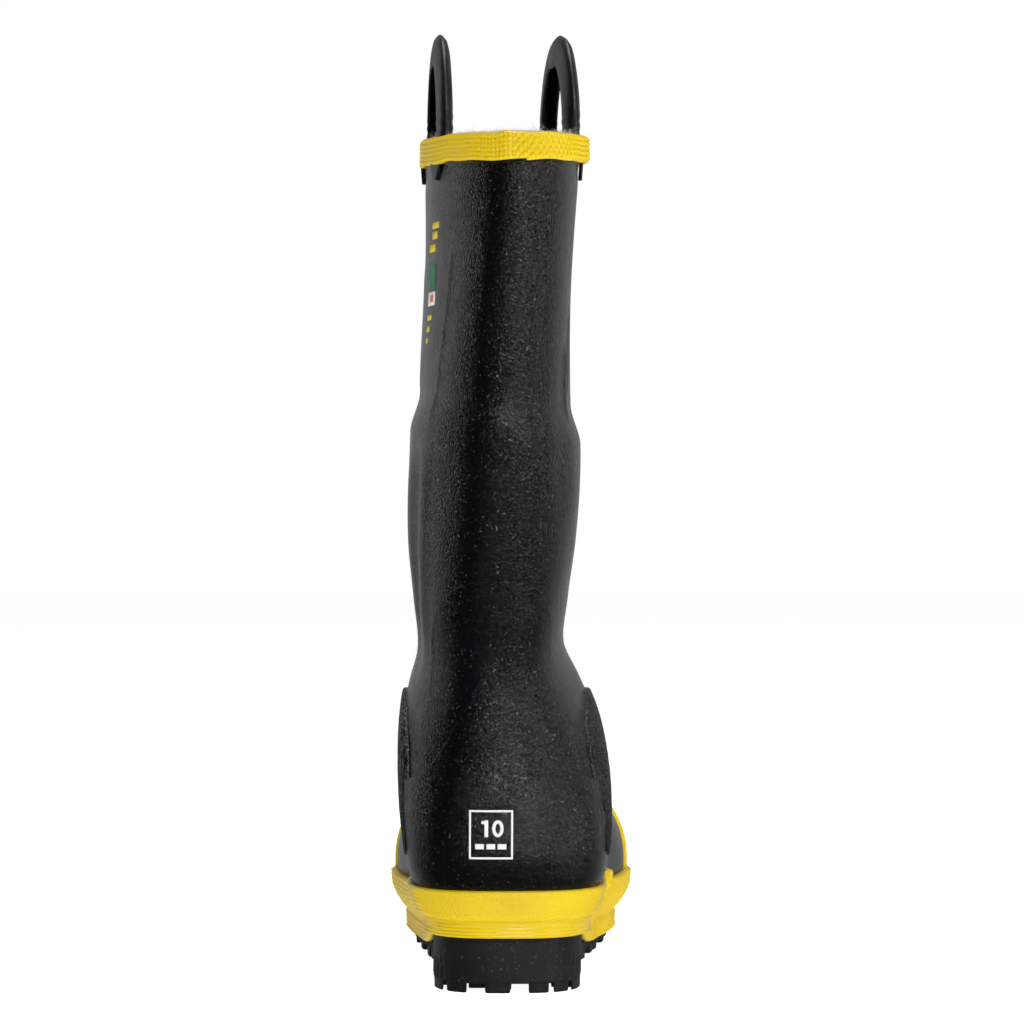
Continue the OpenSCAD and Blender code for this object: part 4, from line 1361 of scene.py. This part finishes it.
def finish_inner_layers():
    """Materials of the layers that stay as the frame made them, closed in by the rest."""
    looks = {"leg_padding": cloth_material("Foam sleeve", tint("foam"), 900.0, 0.7, 0.9),
             "midsole": sole_rubber(),
             "insole_board": cloth_material("Fibre board", tint("board"), 260.0, 0.4, 0.8),
             "toe_cap": steel_material(), "shank": steel_material(),
             "puncture_plate": steel_material()}
    for name, mat in looks.items():
        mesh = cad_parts[name].data
        mesh.materials.clear()
        mesh.materials.append(mat)


# ------------------------------------------------------------------ marks

def flat_patch(x0, x1, z0, z1, step=0.8):
    """A grid of x and z over a rectangle."""
    nx, nz = max(2, int(abs(x1 - x0) / step) + 1), max(2, int(abs(z1 - z0) / step) + 1)
    return np.meshgrid(np.linspace(x0, x1, nx + 1), np.linspace(z1, z0, nz + 1))


def oval_patch(cx, cz, rx, rz, line):
    """A grid over an oval stroke."""
    w = np.linspace(0, 2 * np.pi, 33)[None, :]
    r = np.array([1.0, 0.5, 0.0])[:, None]
    return cx + (rx - line * (1 - r)) * np.cos(w), cz + (rz - line * (1 - r)) * np.sin(w)


def decal(grids, lift):
    """Thin print on the heel, from grids of x and z."""
    parts = []
    for x, z in grids:
        u, a = heel_spots(x, z)
        parts.append(skin(ring_point(u, a, lift + 0.12), ring_point(u, a, lift - 0.3), False))
    return add_parts(parts)


def build_size_mark():
    """Outlined box on the heel with the size number. Three plain bars stand for the word."""
    left, right, low, high, line = -17.4, 2.6, 66.6, 89.2, 0.9
    strokes = [flat_patch(left, right, high - line, high),
               flat_patch(left, right, low, low + line),
               flat_patch(left, left + line, low, high),
               flat_patch(right - line, right, low, high)]
    strokes += [flat_patch(-10.4, -8.7, 76.8, 84.6), flat_patch(-11.8, -10.4, 82.8, 84.2),
                oval_patch(-4.3, 80.7, 2.6, 3.9, 1.5)]
    strokes += [flat_patch(-14.6 + k * 5.1, -10.6 + k * 5.1, 71.2, 73.6) for k in range(3)]
    lift = size("rubber") + size("overlay") * 1.1
    white = print_material("White print", tint("print_white"))
    mesh_object("size_mark", *decal(strokes, lift), white, slot="black_rubber")


# The orange print lies on the white, so it is moved out from the leg
ORANGE_SHIFT = np.array([-0.08, -0.05, 0.0])


def build_leg_marks():
    """Plain blocks of print on the outer side of the leg, with no lettering."""
    t = size("rubber")

    def block(z0, z1, a0, a1):
        z = np.linspace(z1, z0, max(3, int((z1 - z0) / 1.5)))[:, None]
        a = np.linspace(a0, a1, max(3, int(abs(a1 - a0) / 1.5)))[None, :]
        u = ring_at(*np.broadcast_arrays(z, a))
        zz, aa = np.broadcast_arrays(z, a)
        h = leg_relief(aa, zz)
        return skin(ring_point(u, aa, t + h + 0.12), ring_point(u, aa, t + h - 0.3), False)

    yellow = [block(365, 368, -79, -70), block(360, 363.5, -79, -72),
              block(354, 357.5, -84, -75)]
    yellow += [block(321 - 5.5 * k, 323.5 - 5.5 * k, -84, -77 - 2 * k) for k in range(3)]
    green, white, orange = [block(336, 348, -84, -73)], [block(328, 334.6, -84, -73)], \
        [block(329.6, 333, -80, -75)]
    for name, parts, shade in (("leg_mark_yellow", yellow, "yellow"),
                               ("leg_mark_green", green, "print_green"),
                               ("leg_mark_white", white, "print_white"),
                               ("leg_mark_orange", orange, "print_orange")):
        points, faces = add_parts(parts)
        if shade == "print_orange":
            points = points + ORANGE_SHIFT
        mesh_object(name, points, faces, print_material(name.replace("_", " "), tint(shade)),
                    slot="black_rubber")


# ------------------------------------------------------------------ stage

CAMERA = (0.0023, -1.95, 0.228)
FOCAL_MM = 141.9


def area_light(name, place, aim, width, height, power):
    """A rectangular light that faces a point."""
    data = bpy.data.lights.new(name, "AREA")
    data.shape = "RECTANGLE"
    data.size, data.size_y, data.energy = width, height, power
    obj = bpy.data.objects.new(name, data)
    obj.location = place
    obj.rotation_mode = "QUATERNION"
    obj.rotation_quaternion = (Vector(aim) - Vector(place)).to_track_quat("-Z", "Y")
    bpy.context.scene.collection.objects.link(obj)
    return obj


def build_stage():
    """A pale floor, a white background, two strips, two sides, a fill, a top and a camera."""
    scene = bpy.context.scene
    world = bpy.data.worlds.new("Studio")
    scene.world = world
    world.use_nodes = True
    n = Nodes(world.node_tree)
    world.node_tree.nodes.clear()
    seen = n.add("ShaderNodeBackground", {"Color": (1, 1, 1, 1), "Strength": 1.0})
    way = n.add("ShaderNodeSeparateXYZ", {0: n.add("ShaderNodeTexCoord").outputs["Generated"]})
    glow = n.ramp(way.outputs["Y"], 0.5, 1.0, 0.0, 0.42)
    lit = n.add("ShaderNodeBackground", {"Color": (0.97, 0.98, 1, 1), "Strength": glow})
    path = n.add("ShaderNodeLightPath")
    mix = n.add("ShaderNodeMixShader", {0: path.outputs["Is Camera Ray"],
                                        1: lit.outputs[0], 2: seen.outputs[0]})
    n.add("ShaderNodeOutputWorld", {"Surface": mix.outputs[0]})

    mesh = bpy.data.meshes.new("floor")
    mesh.from_pydata([(-6, -3, 0), (6, -3, 0), (6, 9, 0), (-6, 9, 0)], [], [(0, 1, 2, 3)])
    floor = bpy.data.objects.new("floor", mesh)
    scene.collection.objects.link(floor)

    def make(n, shader):
        place = n.add("ShaderNodeTexCoord").outputs["Object"]
        tone = mix_colour(n, n.noise(place, 3.0), (0.90, 0.90, 0.90, 1), (0.93, 0.93, 0.93, 1))
        n.tree.links.new(tone, shader.inputs["Base Color"])
        shader.inputs["Roughness"].default_value = 0.9
        shader.inputs["Specular IOR Level"].default_value = 0.0
        shader.inputs["Emission Color"].default_value = (1, 1, 1, 1)
        shader.inputs["Emission Strength"].default_value = 0.95
    mesh.materials.append(material("Pale floor", make))
    floor.visible_glossy = False

    aim = (0, 0.03, 0.22)
    lights = [area_light("strip_right", (1.22, -0.62, 0.50), aim, 0.10, 1.3, 6),
              area_light("strip_left", (0.16, -1.45, 0.50), aim, 0.05, 1.3, 2.6),
              area_light("side_left", (-1.2, 1.0, 0.6), aim, 0.3, 1.4, 2.2),
              area_light("side_right", (1.2, 1.0, 0.6), aim, 0.3, 1.4, 1.8),
              area_light("front_fill", (0.35, -2.4, 1.9), aim, 0.5, 0.3, 30),
              area_light("top", (0, 0.2, 1.9), aim, 1.0, 1.0, 18)]

    data = bpy.data.cameras.new("camera")
    data.lens, data.sensor_width = FOCAL_MM, 36
    data.clip_start, data.clip_end = 0.05, 50
    camera = bpy.data.objects.new("camera", data)
    camera.location = CAMERA
    camera.rotation_euler = (math.radians(90), 0, 0)
    scene.collection.objects.link(camera)
    scene.camera = camera
    scene.view_settings.view_transform = "Standard"
    scene.view_settings.look = "None"


# ------------------------------------------------------------------ operators

def run(*steps):
    """Runs the steps of an operator on the present sizes. An error in one stops the script."""
    update_shape()
    for step in steps:
        step()
    return {"FINISHED"}


class FIREBOOT_OT_shells(bpy.types.Operator):
    """Builds the black rubber of the leg and vamp"""

    bl_idname = "fireboot.shells"
    bl_label = "Rubber of leg and foot"

    def execute(self, context):
        return run(build_shells)


class FIREBOOT_OT_heel_overlays(bpy.types.Operator):
    """Builds the two arched overlays of the heel"""

    bl_idname = "fireboot.heel_overlays"
    bl_label = "Heel overlays"

    def execute(self, context):
        return run(build_heel_overlays)


class FIREBOOT_OT_ankle_pads(bpy.types.Operator):
    """Builds the two ribbed ankle pads"""

    bl_idname = "fireboot.ankle_pads"
    bl_label = "Ankle pads"

    def execute(self, context):
        return run(build_ankle_pads)


class FIREBOOT_OT_shin_guard(bpy.types.Operator):
    """Builds the ribbed shin guard"""

    bl_idname = "fireboot.shin_guard"
    bl_label = "Shin guard"

    def execute(self, context):
        return run(build_shin_guard)


class FIREBOOT_OT_rim_band(bpy.types.Operator):
    """Builds the yellow knurled band of the rim"""

    bl_idname = "fireboot.rim_band"
    bl_label = "Rim band"

    def execute(self, context):
        return run(build_binding)


class FIREBOOT_OT_sole_bands(bpy.types.Operator):
    """Builds the two yellow bands around the sole"""

    bl_idname = "fireboot.sole_bands"
    bl_label = "Sole bands"

    def execute(self, context):
        return run(build_foxing)


class FIREBOOT_OT_toe_guard(bpy.types.Operator):
    """Builds the yellow bumper of the toe"""

    bl_idname = "fireboot.toe_guard"
    bl_label = "Toe guard"

    def execute(self, context):
        return run(build_toe_guard)


class FIREBOOT_OT_straps(bpy.types.Operator):
    """Builds the two pull straps"""

    bl_idname = "fireboot.straps"
    bl_label = "Pull straps"

    def execute(self, context):
        return run(build_straps)


class FIREBOOT_OT_linings(bpy.types.Operator):
    """Builds the fleece linings and the loose fibres at the rim"""

    bl_idname = "fireboot.linings"
    bl_label = "Linings"

    def execute(self, context):
        return run(build_linings, build_fibres)


class FIREBOOT_OT_footbed(bpy.types.Operator):
    """Builds the loose footbed"""

    bl_idname = "fireboot.footbed"
    bl_label = "Footbed"

    def execute(self, context):
        return run(build_footbed)


class FIREBOOT_OT_heel_block(bpy.types.Operator):
    """Builds the heel block and its tread"""

    bl_idname = "fireboot.heel_block"
    bl_label = "Heel block"

    def execute(self, context):
        return run(build_heel_block)


class FIREBOOT_OT_outsole(bpy.types.Operator):
    """Builds the sole of the forefoot and waist"""

    bl_idname = "fireboot.outsole"
    bl_label = "Outsole"

    def execute(self, context):
        return run(build_outsole)


class FIREBOOT_OT_inner_layers(bpy.types.Operator):
    """Gives the closed-in layers their materials"""

    bl_idname = "fireboot.inner_layers"
    bl_label = "Inner layers"

    def execute(self, context):
        return run(finish_inner_layers)


class FIREBOOT_OT_marks(bpy.types.Operator):
    """Builds the size mark and the plain print on the leg"""

    bl_idname = "fireboot.marks"
    bl_label = "Printed marks"

    def execute(self, context):
        return run(build_size_mark, build_leg_marks)


class FIREBOOT_OT_stage(bpy.types.Operator):
    """Builds the floor, lights and camera"""

    bl_idname = "fireboot.stage"
    bl_label = "Stage"

    def execute(self, context):
        return run(build_stage)


OPERATORS = [
    FIREBOOT_OT_shells,
    FIREBOOT_OT_heel_overlays,
    FIREBOOT_OT_ankle_pads,
    FIREBOOT_OT_shin_guard,
    FIREBOOT_OT_rim_band,
    FIREBOOT_OT_sole_bands,
    FIREBOOT_OT_toe_guard,
    FIREBOOT_OT_straps,
    FIREBOOT_OT_linings,
    FIREBOOT_OT_footbed,
    FIREBOOT_OT_heel_block,
    FIREBOOT_OT_outsole,
    FIREBOOT_OT_inner_layers,
    FIREBOOT_OT_marks,
    FIREBOOT_OT_stage,
]


class FIREBOOT_PT_panel(bpy.types.Panel):
    """Lists the boot's pieces and their sizes."""

    bl_label = "Fire boot"
    bl_space_type = "VIEW_3D"
    bl_region_type = "UI"
    bl_category = "Fire boot"

    def draw(self, context):
        for cls in OPERATORS:
            self.layout.operator(cls.bl_idname)
        for group in (context.scene.fire_boot_sizes, context.scene.fire_boot_colours):
            for name in group.bl_rna.properties.keys():
                if name not in ("rna_type", "name"):
                    self.layout.prop(group, name)


CLASSES = [FireBootSizes, FireBootColours, *OPERATORS, FIREBOOT_PT_panel]


def register():
    for cls in CLASSES:
        bpy.utils.register_class(cls)
    bpy.types.Scene.fire_boot_sizes = PointerProperty(type=FireBootSizes)
    bpy.types.Scene.fire_boot_colours = PointerProperty(type=FireBootColours)


def unregister():
    del bpy.types.Scene.fire_boot_sizes
    del bpy.types.Scene.fire_boot_colours
    for cls in reversed(CLASSES):
        bpy.utils.unregister_class(cls)


def main():
    """Builds every piece."""
    register()
    for cls in OPERATORS:
        group, key = cls.bl_idname.split(".")
        getattr(getattr(bpy.ops, group), key)()


if __name__ == "__main__":
    main()
